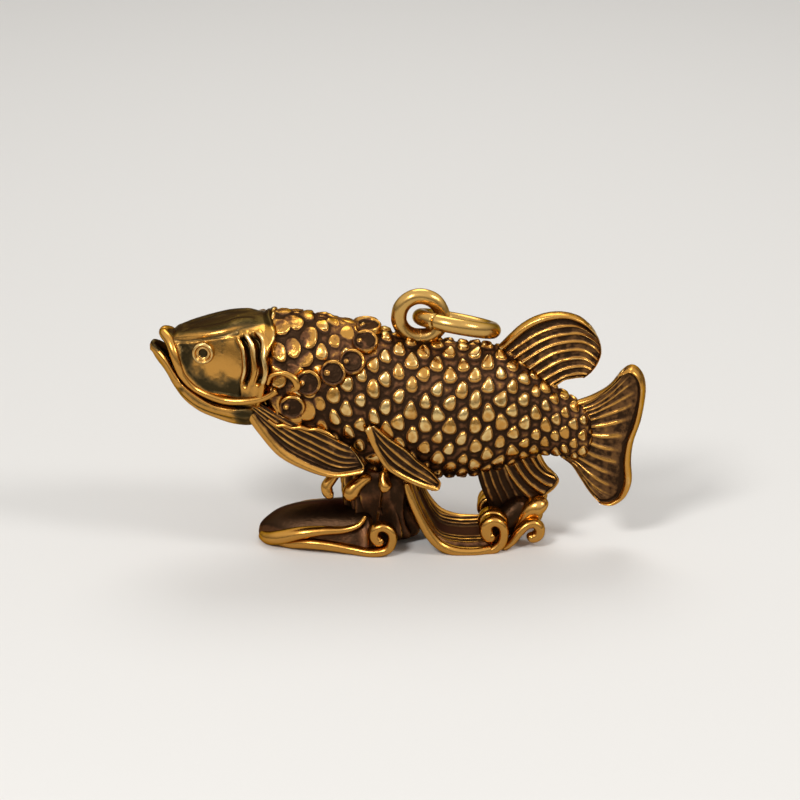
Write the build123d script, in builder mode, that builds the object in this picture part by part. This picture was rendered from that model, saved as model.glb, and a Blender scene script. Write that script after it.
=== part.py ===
from build123d import *
from math import cos, hypot, pi, radians, sin
import os

os.makedirs("parts", exist_ok=True)

# Frame: +X towards the tail, -Y towards the fish's left side, +Z up, ground at zero.
# Fish: lengths along the body
head_length = 11.0
trunk_length = 38.6
tail_length = 5.4
trunk_depth = 16.0
trunk_width = 12.4
swim_height = 15.6
overrun = 2.0

# Skin details that stand proud of the fish
gill_cover_thickness = 0.55
gill_cover_length = 5.3
gill_cover_height = 11.0
gill_slit_width = 0.4
barbel_width = 0.62
barbel_thickness = 0.75
mouth_gap = 0.35
eye_radius = 1.1
pupil_radius = 0.48
eye_rim = 0.3
eye_rise = 0.35
eye_depth = 1.2
eye_place_shares = (0.46, 0.192)
eye_side_share = 0.349

# Dorsal fin
dorsal_length = 11.4
dorsal_height = 8.0
dorsal_place_shares = (0.725, 0.275)
dorsal_rim_thickness = 1.8
dorsal_web_thickness = 1.3
dorsal_groove_depth = 0.3
dorsal_rays = 8
hidden_root_points = 3

# Tail fin
tail_height = 16.0
tail_rim_thickness = 2.0
tail_web_thickness = 1.5
tail_groove_depth = 0.3
tail_sweep = 1.6
tail_root_overlap = 2.4
tail_rays = 8
tail_straight_count = 1

# Anal fin
anal_length = 6.8
anal_height = 6.0
anal_place_shares = (0.725, -0.444)
anal_web_thickness = 1.4
anal_groove_depth = 0.3
anal_rays = 7

# Paired fins
pectoral_length = 13.3
pectoral_height = 6.8
pectoral_place_shares = (0.052, 0.019)
pectoral_side_shares = (0.78, 1.13)
pectoral_thickness = 1.6
pectoral_groove_depth = 0.3
pectoral_rays = 5
pelvic_length = 8.4
pelvic_height = 7.6
pelvic_place_shares = (0.339, 0.0)
pelvic_side_shares = (1.12, 1.0)
pelvic_thickness = 1.6
pelvic_groove_depth = 0.3
pelvic_rays = 3

# Fin rays and rims
ray_groove_width = 0.3
fin_rim_width = 1.0

# Coins on their string
coin_radius = 1.45
coin_thickness = 0.9
coin_rim = 0.4
coin_recess = 0.25
coin_hole_radius = 0.4
coin_sink = 0.45
coin_sides = 18
coin_hole_sides = 6

# Wave base
front_wave_length = 13.8
front_wave_height = 6.6
front_wave_half_width = 6.2
front_wave_end = -1.8
front_scroll_radius = 1.68
front_scroll_centre_height = 2.57
front_scroll_width = 1.8
scroll_groove_share = 0.2
spiral_outer_share = 0.72
spiral_inner_share = 0.22
scroll_turns = 1.25
scroll_strokes = 10
scroll_groove_depth = 0.35
scroll_bedding = 0.05
column_length = 10.0
column_half_width = 3.2
column_centre = -1.7
column_bedding = 2.2
rear_wave_start = 1.2
rear_wave_length = 10.6
rear_wave_half_width = 5.2
rear_sheet_thickness = 0.9
rear_rim_width = 0.9
rear_rim_thickness = 1.2
rear_flute_width = 0.5
rear_flute_thickness = 1.15
rear_flute_shares = [0.26, 0.50, 0.74]
rear_scroll_radius = 1.5
rear_scroll_centre = 11.0
rear_scroll_centre_height = 3.1
rear_scroll_width = 3.4
rear_crest_ball_radius = 1.23
rear_crest_foot_radius = 0.9
rear_crest_reach = 15.6
rear_crest_half_width = 2.6
rear_crest_drop = 3.74
spray_radius = 0.95
spray_reach = 1.2
spray_sides = 16
spray_dimple_share = 0.45

# Hanging loop and jump ring
loop_wire = 1.74
loop_mean_radius = 2.4
loop_place_share = 0.495
ring_wire = 1.8
ring_mean_radius = 4.1
ring_slope = 11.0
ring_tilt = 14.0
ring_split_angle = 2.4
ring_split_place = -128.0

# Stations of the body: place along the piece, rise of the centre, depth, width
trunk_station_shares = [
    (0.0, 0.34, 0.78, 0.81),
    (0.07, 0.272, 0.905, 0.90),
    (0.145, 0.206, 1.0, 0.97),
    (0.29, 0.131, 1.05, 1.0),
    (0.436, 0.034, 1.02, 1.0),
    (0.611, 0.0, 0.975, 0.97),
    (0.725, 0.01, 0.89, 0.81),
    (0.842, -0.044, 0.60, 0.56),
    (0.943, -0.144, 0.46, 0.36),
    (1.0, -0.19, 0.42, 0.26),
]
head_station_shares = [
    (0.0, 0.0, 1.0, 1.0),
    (0.23, -0.01, 0.98, 0.92),
    (0.50, 0.0, 0.83, 0.80),
    (0.68, 0.04, 0.63, 0.64),
    (0.85, 0.13, 0.38, 0.48),
    (0.955, 0.16, 0.20, 0.32),
    (1.0, 0.16, 0.10, 0.20),
]

# Places worked out from the sizes above
nose_x = -(head_length + trunk_length + tail_length) / 2
gill_x = nose_x + head_length
tail_x = gill_x + trunk_length
gill_height = swim_height + trunk_station_shares[0][1] * trunk_depth
gill_depth = trunk_station_shares[0][2] * trunk_depth
gill_width = trunk_station_shares[0][3] * trunk_width
belly_height = swim_height - trunk_station_shares[5][2] * trunk_depth / 2


def trunk_sections(proud):
    # Each section is x, centre height, half depth and half width.
    return [
        (
            gill_x + along * trunk_length,
            swim_height + rise * trunk_depth,
            depth * trunk_depth / 2 + proud,
            width * trunk_width / 2 + proud,
        )
        for along, rise, depth, width in trunk_station_shares
    ]


def head_sections(proud):
    return [
        (
            gill_x - along * head_length,
            gill_height + rise * gill_depth,
            depth * gill_depth / 2 + proud,
            width * gill_width / 2 + proud,
        )
        for along, rise, depth, width in head_station_shares
    ]


def skin(sections):
    # A smooth skin over elliptical sections across the body
    with BuildPart() as shape:
        for x, height, half_depth, half_width in sections:
            with BuildSketch(Plane.YZ.offset(x)):
                with Locations((0, height)):
                    Ellipse(half_width, half_depth)
        loft()
    return shape.part


def section_at(x):
    # The trunk's centre height, half depth and half width at a place along it
    stations = trunk_sections(0)
    for first, second in zip(stations, stations[1:]):
        if x <= second[0]:
            break
    part_way = (x - first[0]) / (second[0] - first[0])
    return [a + (b - a) * part_way for a, b in zip(first[1:], second[1:])]


def flank_point(x, angle):
    # A point on the trunk's left flank, with the angle measured up from level
    height, half_depth, half_width = section_at(x)
    turn = radians(angle)
    point = Vector(x, -half_width * cos(turn), height + half_depth * sin(turn))
    normal = Vector(0, -cos(turn) / half_width, sin(turn) / half_depth).normalized()
    return point, normal


def on_trunk(place_shares):
    # A place in the side view: share along the trunk, and share of its depth above the swimming height
    return (gill_x + place_shares[0] * trunk_length, swim_height + place_shares[1] * trunk_depth)


def placed(shares, length, height, corner):
    return [(corner[0] + u * length, corner[1] + v * height) for u, v in shares]


def largest(part):
    with BuildPart() as kept:
        add(part.solids().sort_by(SortBy.VOLUME)[-1])
    return kept.part


def mirrored(part):
    with BuildPart() as copy:
        add(part)
        mirror(about=Plane.XZ, mode=Mode.REPLACE)
    return copy.part


def face_of(points, straight_count=0):
    # The points are joined by a smooth curve, apart from the last few, which straight lines join.
    smooth_count = len(points) - straight_count
    with BuildSketch(Plane.XZ) as sketch:
        with BuildLine():
            Spline(*points[:smooth_count])
            Polyline(*points[smooth_count - 1:], points[0])
        make_face()
    return sketch.sketch


def strips(lines, width):
    # Narrow strips in the side view along straight or bent lines
    with BuildSketch(Plane.XZ) as sketch:
        with BuildLine():
            for line in lines:
                if len(line) > 2:
                    Spline(*line)
                else:
                    Line(*line)
        trace(line_width=width)
    return sketch.sketch


def prism(sketch, inner, outer):
    # A side-view shape given thickness between two distances from the middle plane, on the left
    with BuildPart() as block:
        with BuildSketch(Plane.XZ.offset(inner)):
            add(sketch)
        extrude(amount=outer - inner)
    return block.part


finished = {}


def finish(name, part):
    part.label = name
    finished[name] = part
    export_step(part, f"parts/{name}.step")


# Trunk
trunk_skin = skin(trunk_sections(0))
with BuildPart() as trunk:
    add(trunk_skin)
finish("trunk", trunk.part)

# Head and lower jaw, parted along the mouth line
jaw_line_shares = [(-1.01, 0.29), (-0.80, 0.13), (-0.68, -0.05), (-0.50, -0.25), (-0.35, -0.41)]
jaw_block_shares = jaw_line_shares + [(-0.35, -0.8), (-1.3, -0.8), (-1.3, 0.29)]
mouth_line_shares = [(-1.1, 0.32), (-0.95, 0.25), (-0.80, 0.13)]
head_skin = skin(head_sections(0))
jaw_points = placed(jaw_block_shares, head_length, gill_depth, (gill_x, gill_height))
mouth_points = placed(mouth_line_shares, head_length, gill_depth, (gill_x, gill_height))
with BuildPart() as jaw_block:
    with BuildSketch(Plane.XZ):
        with BuildLine():
            Polyline(*jaw_points, close=True)
        make_face()
    extrude(amount=trunk_width, both=True)
with BuildPart() as mouth_slit:
    with BuildSketch(Plane.XZ):
        add(strips([mouth_points], mouth_gap))
    extrude(amount=trunk_width, both=True)
with BuildPart() as head:
    add(head_skin)
    add(jaw_block.part, mode=Mode.SUBTRACT)
    add(mouth_slit.part, mode=Mode.SUBTRACT)
head_part = largest(head.part)
finish("head", head_part)
with BuildPart() as lower_jaw:
    add(head_skin)
    add(jaw_block.part, mode=Mode.INTERSECT)
    add(mouth_slit.part, mode=Mode.SUBTRACT)
jaw_part = largest(lower_jaw.part)
finish("lower_jaw", jaw_part)

# Gill covers
gill_cover_shares = [
    (-0.37, 0.50), (0.01, 0.60), (0.39, 0.64), (0.60, 0.57), (0.62, 0.52), (0.34, 0.41),
    (0.43, 0.17), (0.39, -0.03), (0.11, -0.25), (-0.16, -0.38), (-0.46, -0.30), (-0.37, -0.03),
]
gill_slit_shares = [
    [(-0.08, 0.41), (0.03, 0.18), (0.03, -0.08)],
    [(0.07, 0.46), (0.24, 0.27), (0.29, -0.05)],
]
gill_joint = (gill_x, gill_height)


def near_gill_skin(proud):
    # The body's skin around the gill joint, from the eye to just behind the cover
    return skin(head_sections(proud)[4:0:-1] + trunk_sections(proud)[:4])


gill_points = placed(gill_cover_shares, gill_cover_length, gill_cover_height, gill_joint)
with BuildPart() as gill_cover:
    add(prism(face_of(gill_points), 0, trunk_width))
    add(near_gill_skin(gill_cover_thickness), mode=Mode.INTERSECT)
    for line in gill_slit_shares:
        slit = placed(line, gill_cover_length, gill_cover_height, gill_joint)
        add(prism(strips([slit], gill_slit_width), 0, trunk_width), mode=Mode.SUBTRACT)
    for carried_by in (trunk_skin, head_part, jaw_part):
        add(carried_by, mode=Mode.SUBTRACT)
gill_cover_part = largest(gill_cover.part)
finish("gill_cover_left", gill_cover_part)
finish("gill_cover_right", mirrored(gill_cover_part))

# Barbels, one down each cheek from the corner of the mouth
barbel_shares = [
    (-0.73, 0.35), (-0.70, 0.20), (-0.65, 0.04), (-0.58, -0.08), (-0.50, -0.13), (-0.28, -0.18),
    (-0.08, -0.19), (0.13, -0.17), (0.27, -0.12), (0.32, -0.06),
]
barbel_points = placed(barbel_shares, head_length, gill_depth, gill_joint)
with BuildPart() as barbel:
    add(prism(strips([barbel_points], barbel_width), 0, trunk_width))
    add(near_gill_skin(barbel_thickness), mode=Mode.INTERSECT)
    for carried_by in (trunk_skin, head_part, jaw_part, gill_cover_part):
        add(carried_by, mode=Mode.SUBTRACT)
barbel_part = largest(barbel.part)
finish("barbel_left", barbel_part)
finish("barbel_right", mirrored(barbel_part))

# Eyes
eye_x = gill_x - eye_place_shares[0] * head_length
eye_height = gill_height + eye_place_shares[1] * gill_depth
eye_side = eye_side_share * gill_width
with BuildPart() as eye:
    with BuildSketch(Plane((eye_x, -eye_side, eye_height), x_dir=(1, 0, 0), z_dir=(0, 0, 1))):
        with BuildLine():
            Polyline(
                (0, eye_depth), (eye_radius, eye_depth), (eye_radius, -eye_rise / 2),
                (eye_radius - eye_rim / 2, -eye_rise), (eye_radius - eye_rim, 0),
                (pupil_radius, -eye_rise / 2), (0, -eye_rise / 2), close=True,
            )
        make_face()
    revolve(axis=Axis((eye_x, -eye_side, eye_height), (0, 1, 0)))
    add(head_part, mode=Mode.SUBTRACT)
eye_part = largest(eye.part)
finish("eye_left", eye_part)
finish("eye_right", mirrored(eye_part))


def ray_lines(root, first_tip, last_tip, count):
    # Straight rays that fan evenly from the root between two tips
    lines = []
    for number in range(count):
        step = number / (count - 1)
        tip = (
            first_tip[0] + (last_tip[0] - first_tip[0]) * step,
            first_tip[1] + (last_tip[1] - first_tip[1]) * step,
        )
        lines.append((root, tip))
    return lines


def inside_rim(points, straight_count):
    # What a fin's thick edge leaves: each point of a clockwise outline moves square to its neighbours.
    inner = []
    for before, point, after in zip(points[-1:] + points[:-1], points, points[1:] + points[:1]):
        along, up = after[0] - before[0], after[1] - before[1]
        reach = fin_rim_width / hypot(along, up)
        inner.append((point[0] + up * reach, point[1] - along * reach))
    return face_of(inner, straight_count)


def inside_grooves(field, lines):
    # The grooves between the rays, which stop at the thick edge
    with BuildSketch(Plane.XZ) as grooves:
        add(strips(lines, ray_groove_width))
        add(field, mode=Mode.INTERSECT)
    return grooves.sketch


# Dorsal fin
dorsal_shares = [
    (-0.02, 0.40), (0.21, 0.72), (0.38, 0.84), (0.56, 0.87), (0.73, 0.84), (0.84, 0.79), (0.90, 0.67),
    (1.00, 0.44), (1.00, 0.29), (0.93, 0.12), (0.87, -0.09), (0.69, -0.11), (0.5, -0.4), (0.1, -0.2),
]
dorsal_corner = on_trunk(dorsal_place_shares)
dorsal_points = placed(dorsal_shares, dorsal_length, dorsal_height, dorsal_corner)
dorsal_face = face_of(dorsal_points, hidden_root_points)
dorsal_field = inside_rim(dorsal_points, hidden_root_points)
dorsal_tip_shares = [(0.45, 0.8), (0.9, -0.02)]
dorsal_root = placed(dorsal_shares[-1:], dorsal_length, dorsal_height, dorsal_corner)[0]
dorsal_tips = placed(dorsal_tip_shares, dorsal_length, dorsal_height, dorsal_corner)
dorsal_lines = ray_lines(dorsal_root, dorsal_tips[0], dorsal_tips[1], dorsal_rays)
dorsal_web_side = dorsal_web_thickness / 2
with BuildPart() as dorsal_pockets:
    add(prism(dorsal_field, dorsal_web_side, dorsal_rim_thickness))
    grooves = inside_grooves(dorsal_field, dorsal_lines)
    add(prism(grooves, dorsal_web_side - dorsal_groove_depth, dorsal_rim_thickness))
with BuildPart() as dorsal_fin:
    with BuildSketch(Plane.XZ):
        add(dorsal_face)
    extrude(amount=dorsal_rim_thickness / 2, both=True)
    add(dorsal_pockets.part, mode=Mode.SUBTRACT)
    add(mirrored(dorsal_pockets.part), mode=Mode.SUBTRACT)
    add(trunk_skin, mode=Mode.SUBTRACT)
dorsal_part = largest(dorsal_fin.part)
finish("dorsal_fin", dorsal_part)

# Tail fin, swept a little to the left like a real stroke
tail_shares = [
    (-0.13, 0.25), (0.35, 0.39), (0.53, 0.50), (0.68, 0.51), (0.95, 0.42), (1.0, 0.33), (0.95, 0.10),
    (0.80, -0.05), (0.77, -0.19), (0.80, -0.34), (0.72, -0.45), (0.45, -0.52), (0.19, -0.49),
    (-0.13, -0.28), (-0.42, -0.19), (-0.42, 0.19),
]
tail_field_shares = [
    (-0.2, 0.12), (0.35, 0.29), (0.60, 0.40), (0.78, 0.33), (0.76, 0.10), (0.62, -0.05), (0.58, -0.19),
    (0.62, -0.33), (0.50, -0.42), (0.2, -0.38), (-0.2, -0.16),
]
tail_root = section_at(tail_x)
tail_corner = (tail_x, tail_root[0])
tail_points = placed(tail_shares, tail_length, tail_height, tail_corner)
tail_face = face_of(tail_points, tail_straight_count)
tail_inner = face_of(placed(tail_field_shares, tail_length, tail_height, tail_corner))
tail_tip_shares = [(0.7, 0.47), (0.4, -0.5)]
tail_tips = placed(tail_tip_shares, tail_length, tail_height, tail_corner)


def tail_slab(thickness):
    start = tail_x - tail_root_overlap
    with BuildPart() as slab:
        with BuildSketch(Plane.XY):
            with BuildLine():
                ThreePointArc((start, 0), (tail_x, -tail_sweep / 5), (tail_x + tail_length, -tail_sweep))
            trace(line_width=thickness)
        extrude(amount=swim_height + trunk_depth)
    return slab.part


def tail_prism(sketch):
    with BuildPart() as block:
        with BuildSketch(Plane.XZ):
            add(sketch)
        extrude(amount=trunk_width, both=True)
    return block.part


tail_lines = ray_lines((tail_x - tail_root_overlap, tail_root[0]), tail_tips[0], tail_tips[1], tail_rays)
with BuildPart() as tail_field:
    add(tail_prism(tail_inner))
    add(tail_slab(tail_web_thickness), mode=Mode.SUBTRACT)
with BuildPart() as tail_grooves:
    add(tail_prism(inside_grooves(tail_inner, tail_lines)))
    add(tail_slab(tail_web_thickness - 2 * tail_groove_depth), mode=Mode.SUBTRACT)
with BuildPart() as tail_fin:
    add(tail_prism(tail_face))
    add(tail_slab(tail_rim_thickness), mode=Mode.INTERSECT)
    add(tail_field.part, mode=Mode.SUBTRACT)
    add(tail_grooves.part, mode=Mode.SUBTRACT)
    add(trunk_skin, mode=Mode.SUBTRACT)
tail_part = largest(tail_fin.part)
finish("tail_fin", tail_part)


def flaring_slab(start, end, side_shares, thickness, sunk):
    # A plate beside the left flank, its outer face at a share of the trunk's half width at each end
    front_side, rear_side = [share * trunk_width / 2 - sunk for share in side_shares]
    with BuildPart() as slab:
        with BuildSketch(Plane.XY):
            with BuildLine():
                Polyline(
                    (start, -front_side), (end, -rear_side), (end, thickness - sunk - rear_side),
                    (start, thickness - sunk - front_side), close=True,
                )
            make_face()
        extrude(amount=swim_height + trunk_depth)
    return slab.part


def side_fin(face, grooves, start, end, side_shares, thickness, groove_depth):
    # A fin beside the flank: its rays stand proud of the web between them
    with BuildPart() as raised:
        with BuildSketch(Plane.XZ):
            add(face)
            add(grooves, mode=Mode.SUBTRACT)
        extrude(amount=2 * trunk_width)
        add(flaring_slab(start, end, side_shares, thickness, 0), mode=Mode.INTERSECT)
    with BuildPart() as fin:
        with BuildSketch(Plane.XZ):
            add(face)
        extrude(amount=2 * trunk_width)
        add(flaring_slab(start, end, side_shares, thickness, groove_depth), mode=Mode.INTERSECT)
        add(raised.part)
        for carried_by in (trunk_skin, jaw_part, head_part, gill_cover_part, barbel_part):
            add(carried_by, mode=Mode.SUBTRACT)
    return largest(fin.part)


# Pectoral fins
pectoral_shares = [
    (-0.05, 0.15), (-0.10, -0.05), (0.04, -0.43), (0.32, -0.78), (0.54, -0.94), (0.80, -0.73),
    (0.64, -0.55), (0.53, -0.34), (0.49, -0.06), (0.27, 0.04), (0.10, 0.15),
]
pectoral_corner = on_trunk(pectoral_place_shares)
pectoral_face = face_of(placed(pectoral_shares, pectoral_length, pectoral_height, pectoral_corner))
pectoral_end_shares = [(0.05, 0.0), (0.5, -0.12), (0.45, -0.8)]
pectoral_ends = placed(pectoral_end_shares, pectoral_length, pectoral_height, pectoral_corner)
pectoral_grooves = strips(
    ray_lines(pectoral_ends[0], pectoral_ends[1], pectoral_ends[2], pectoral_rays), ray_groove_width
)
pectoral_part = side_fin(
    pectoral_face, pectoral_grooves, pectoral_corner[0] - overrun, pectoral_corner[0] + pectoral_length,
    pectoral_side_shares, pectoral_thickness, pectoral_groove_depth,
)
finish("pectoral_fin_left", pectoral_part)
finish("pectoral_fin_right", mirrored(pectoral_part))

# Pelvic fins
pelvic_shares = [
    (-0.06, 0.03), (0.02, 0.10), (0.12, 0.03), (0.34, -0.32), (0.63, -0.63), (0.94, -0.94),
    (0.90, -1.0), (0.58, -0.85), (0.30, -0.63), (0.12, -0.38), (0.02, -0.15),
]
pelvic_corner = on_trunk(pelvic_place_shares)
pelvic_face = face_of(placed(pelvic_shares, pelvic_length, pelvic_height, pelvic_corner))
pelvic_end_shares = [(0.05, 0.0), (0.85, -0.84), (0.5, -0.8)]
pelvic_ends = placed(pelvic_end_shares, pelvic_length, pelvic_height, pelvic_corner)
pelvic_grooves = strips(
    ray_lines(pelvic_ends[0], pelvic_ends[1], pelvic_ends[2], pelvic_rays), ray_groove_width
)
pelvic_part = side_fin(
    pelvic_face, pelvic_grooves, pelvic_corner[0] - overrun, pelvic_corner[0] + pelvic_length,
    pelvic_side_shares, pelvic_thickness, pelvic_groove_depth,
)
finish("pelvic_fin_left", pelvic_part)
finish("pelvic_fin_right", mirrored(pelvic_part))


# Coins: place along the trunk and angle up the flank
coin_place_shares = [(0.128, -8), (0.175, 15), (0.245, 26), (0.30, 38), (0.337, 60)]
ridge_coin_share = 0.346
ridge_coin_angle = 82


def coin(x, angle):
    # A round holed coin, seen as a raised rim, a sunken field and the knot of the string in its hole
    point, normal = flank_point(x, angle)
    top = coin_thickness - coin_sink
    with BuildPart() as disc:
        with BuildSketch(Plane(origin=point - normal * coin_sink, z_dir=normal)):
            RegularPolygon(coin_radius, coin_sides)
        extrude(amount=coin_thickness)
        with BuildSketch(Plane(origin=point + normal * top, z_dir=normal)):
            RegularPolygon(coin_radius - coin_rim, coin_sides)
            RegularPolygon(coin_hole_radius, coin_hole_sides, mode=Mode.SUBTRACT)
        extrude(amount=-coin_recess, mode=Mode.SUBTRACT)
    return disc.part


with BuildPart() as flank_coins:
    for along, angle in coin_place_shares:
        add(coin(gill_x + along * trunk_length, angle))
with BuildPart() as coin_string:
    add(flank_coins.part)
    mirror(about=Plane.XZ)
    add(coin(gill_x + ridge_coin_share * trunk_length, ridge_coin_angle))
    for carried_by in (trunk_skin, pectoral_part, mirrored(pectoral_part)):
        add(carried_by, mode=Mode.SUBTRACT)
finish("coin_string", coin_string.part)


def scroll(x, height, radius, inner, outer):
    # A rolled wave end on the left, with its spiral cut into the face in short straight strokes
    steps = round(scroll_turns * scroll_strokes)
    spiral = []
    for step in range(steps + 1):
        reach = radius * (spiral_outer_share - (spiral_outer_share - spiral_inner_share) * step / steps)
        turn = 2 * pi * scroll_turns * step / steps
        spiral.append((x + reach * cos(turn), height + reach * sin(turn)))
    half_groove = radius * scroll_groove_share / 2
    outer_side = [(x + (u - x) * (1 + half_groove / hypot(u - x, v - height)),
                   height + (v - height) * (1 + half_groove / hypot(u - x, v - height))) for u, v in spiral]
    inner_side = [(x + (u - x) * (1 - half_groove / hypot(u - x, v - height)),
                   height + (v - height) * (1 - half_groove / hypot(u - x, v - height))) for u, v in spiral]
    with BuildPart() as roll:
        with BuildSketch(Plane.XZ.offset(inner)):
            with Locations((x, height)):
                Circle(radius)
        extrude(amount=outer - inner)
        with BuildSketch(Plane.XZ.offset(outer)):
            with BuildLine():
                Polyline(*outer_side, *reversed(inner_side), close=True)
            make_face()
        extrude(amount=-scroll_groove_depth, mode=Mode.SUBTRACT)
    return roll.part


def curl(x, height, radius, inner, outer):
    # A small rolled drop on the left with a dimple in its face
    with BuildPart() as roll:
        with BuildSketch(Plane.XZ.offset(inner)):
            with Locations((x, height)):
                RegularPolygon(radius, spray_sides)
        extrude(amount=outer - inner)
        with BuildSketch(Plane.XZ.offset(outer)):
            with Locations((x, height)):
                RegularPolygon(radius * spray_dimple_share, spray_sides)
        extrude(amount=-scroll_groove_depth, mode=Mode.SUBTRACT)
    return roll.part


def above_ground(part):
    with BuildPart() as kept:
        add(part)
        split(bisect_by=Plane.XY, keep=Keep.TOP)
    return largest(kept.part)


# Column under the belly
column_shares = [
    (-0.52, 0.0), (-0.46, 0.25), (-0.36, 0.5), (-0.42, 0.8), (-0.5, 1.0), (0.5, 1.0), (0.34, 0.7),
    (0.26, 0.45), (0.4, 0.2), (0.5, 0.0),
]
column_height = belly_height + column_bedding
with BuildPart() as column:
    with BuildSketch(Plane.XZ):
        with BuildLine():
            points = placed(column_shares, column_length, column_height, (column_centre, 0))
            Spline(*points[:5])
            Polyline(points[4], points[5])
            Spline(*points[5:])
            Polyline(points[-1], points[0])
        make_face()
    extrude(amount=column_half_width, both=True)
    add(trunk_skin, mode=Mode.SUBTRACT)
column_part = largest(column.part)
finish("wave_column", column_part)

# Front wave: a fluted tongue that lies on the ground and points ahead
front_wave_shares = [
    (-1.0, 0.0), (-1.0, 0.13), (-0.93, 0.40), (-0.83, 0.55), (-0.70, 0.64), (-0.57, 0.66), (-0.41, 0.69),
    (-0.21, 0.67), (0.0, 0.60), (0.14, 0.45), (0.14, 0.0),
]
front_plan_shares = [
    (-1.0, 0.0), (-0.95, 0.15), (-0.86, 0.37), (-0.68, 0.53), (-0.40, 0.63), (-0.21, 0.76), (0.0, 0.97),
    (0.14, 1.0),
]
front_flute_shares = [(1.0, 0.72), (0.82, 0.88), (0.6, 1.0)]


def tongue(width_share, height_share):
    side = placed(
        front_wave_shares, front_wave_length, front_wave_height * height_share, (front_wave_end, 0)
    )
    near = placed(
        front_plan_shares, front_wave_length, -front_wave_half_width * width_share, (front_wave_end, 0)
    )
    far = [(x, -y) for x, y in reversed(near)]
    with BuildPart() as band:
        with BuildSketch(Plane.XZ):
            with BuildLine():
                Spline(*side[1:10])
                Polyline(side[9], side[10], side[0], side[1])
            make_face()
        extrude(amount=front_wave_half_width, both=True)
        with BuildSketch(Plane.XY):
            with BuildLine():
                Polyline(*(near[::-1] + far[::-1][1:]))
                Line(far[0], near[-1])
            make_face()
        extrude(amount=front_wave_height, mode=Mode.INTERSECT)
    return band.part


front_scroll_part = scroll(
    front_wave_end, front_scroll_centre_height, front_scroll_radius,
    front_wave_half_width - front_scroll_width, front_wave_half_width + scroll_groove_depth,
)
with BuildPart() as front_wave:
    for width_share, height_share in front_flute_shares:
        add(tongue(width_share, height_share))
    add(column_part, mode=Mode.SUBTRACT)
    add(front_scroll_part, mode=Mode.SUBTRACT)
    add(mirrored(front_scroll_part), mode=Mode.SUBTRACT)
front_wave_part = above_ground(front_wave.part)
finish("front_wave", front_wave_part)
finish("front_scroll_left", front_scroll_part)
finish("front_scroll_right", mirrored(front_scroll_part))

# Rear wave: a curved sheet that drops from the belly, runs along the ground and turns up round the scrolls
rear_sheet_shares = [
    (0.0, 1.12), (0.02, 0.98), (0.05, 0.82), (0.10, 0.63), (0.155, 0.46), (0.217, 0.31), (0.28, 0.20),
    (0.35, 0.125), (0.43, 0.08), (0.53, 0.064), (0.74, 0.07), (0.82, 0.10),
]
scroll_round_angles = [-100, -70, -40, -10]
rear_scroll_part = scroll(
    rear_scroll_centre, rear_scroll_centre_height, rear_scroll_radius,
    rear_wave_half_width - rear_scroll_width, rear_wave_half_width + scroll_groove_depth,
)
rear_sheet_points = placed(rear_sheet_shares, rear_wave_length, belly_height, (rear_wave_start, 0))
for angle in scroll_round_angles:
    reach = rear_scroll_radius + rear_sheet_thickness / 2 - scroll_bedding
    turn = radians(angle)
    rear_sheet_points.append(
        (rear_scroll_centre + reach * cos(turn), rear_scroll_centre_height + reach * sin(turn))
    )


def ribbon(points, thickness):
    # A band of even thickness along a bent line in the side view
    below, above = [], []
    for before, point, after in zip(points[:1] + points[:-1], points, points[1:] + points[-1:]):
        along, up = after[0] - before[0], after[1] - before[1]
        reach = thickness / 2 / hypot(along, up)
        below.append((point[0] + up * reach, point[1] - along * reach))
        above.append((point[0] - up * reach, point[1] + along * reach))
    with BuildSketch(Plane.XZ) as sketch:
        with BuildLine():
            Polyline(*below, *reversed(above), close=True)
        make_face()
    return sketch.sketch


rear_rim_inside = rear_wave_half_width - rear_rim_width
with BuildPart() as rear_ridges:
    add(prism(ribbon(rear_sheet_points, rear_rim_thickness), rear_rim_inside, rear_wave_half_width))
    for share in rear_flute_shares:
        middle = share * rear_wave_half_width
        flute = ribbon(rear_sheet_points, rear_flute_thickness)
        add(prism(flute, middle - rear_flute_width / 2, middle + rear_flute_width / 2))
with BuildPart() as rear_wave:
    with BuildSketch(Plane.XZ):
        add(ribbon(rear_sheet_points, rear_sheet_thickness))
    extrude(amount=rear_wave_half_width, both=True)
    add(rear_ridges.part)
    add(mirrored(rear_ridges.part))
    for carried_by in (trunk_skin, column_part, front_wave_part, rear_scroll_part):
        add(carried_by, mode=Mode.SUBTRACT)
    add(mirrored(rear_scroll_part), mode=Mode.SUBTRACT)
rear_wave_part = above_ground(rear_wave.part)
finish("rear_wave", rear_wave_part)
finish("rear_scroll_left", rear_scroll_part)
finish("rear_scroll_right", mirrored(rear_scroll_part))

# Rear crest: two rolls on a stem behind the rear wave
rear_crest_height = belly_height - rear_crest_drop
with BuildPart() as rear_crest:
    with BuildSketch(Plane.XZ):
        with Locations((rear_crest_reach, rear_crest_height)):
            Circle(rear_crest_ball_radius)
        with Locations((rear_crest_reach, rear_crest_foot_radius)):
            Circle(rear_crest_foot_radius)
        with BuildLine():
            Polyline(
                (rear_scroll_centre, 0), (rear_crest_reach, 0),
                (rear_crest_reach - rear_crest_foot_radius, 2 * rear_crest_foot_radius),
                (rear_crest_reach, rear_crest_height + rear_crest_ball_radius),
                (rear_crest_reach - 2 * rear_crest_ball_radius, rear_crest_height), close=True,
            )
        make_face()
    extrude(amount=rear_crest_half_width, both=True)
    for carried_by in (rear_wave_part, rear_scroll_part, mirrored(rear_scroll_part), trunk_skin):
        add(carried_by, mode=Mode.SUBTRACT)
rear_crest_part = above_ground(rear_crest.part)
finish("rear_crest", rear_crest_part)

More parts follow.
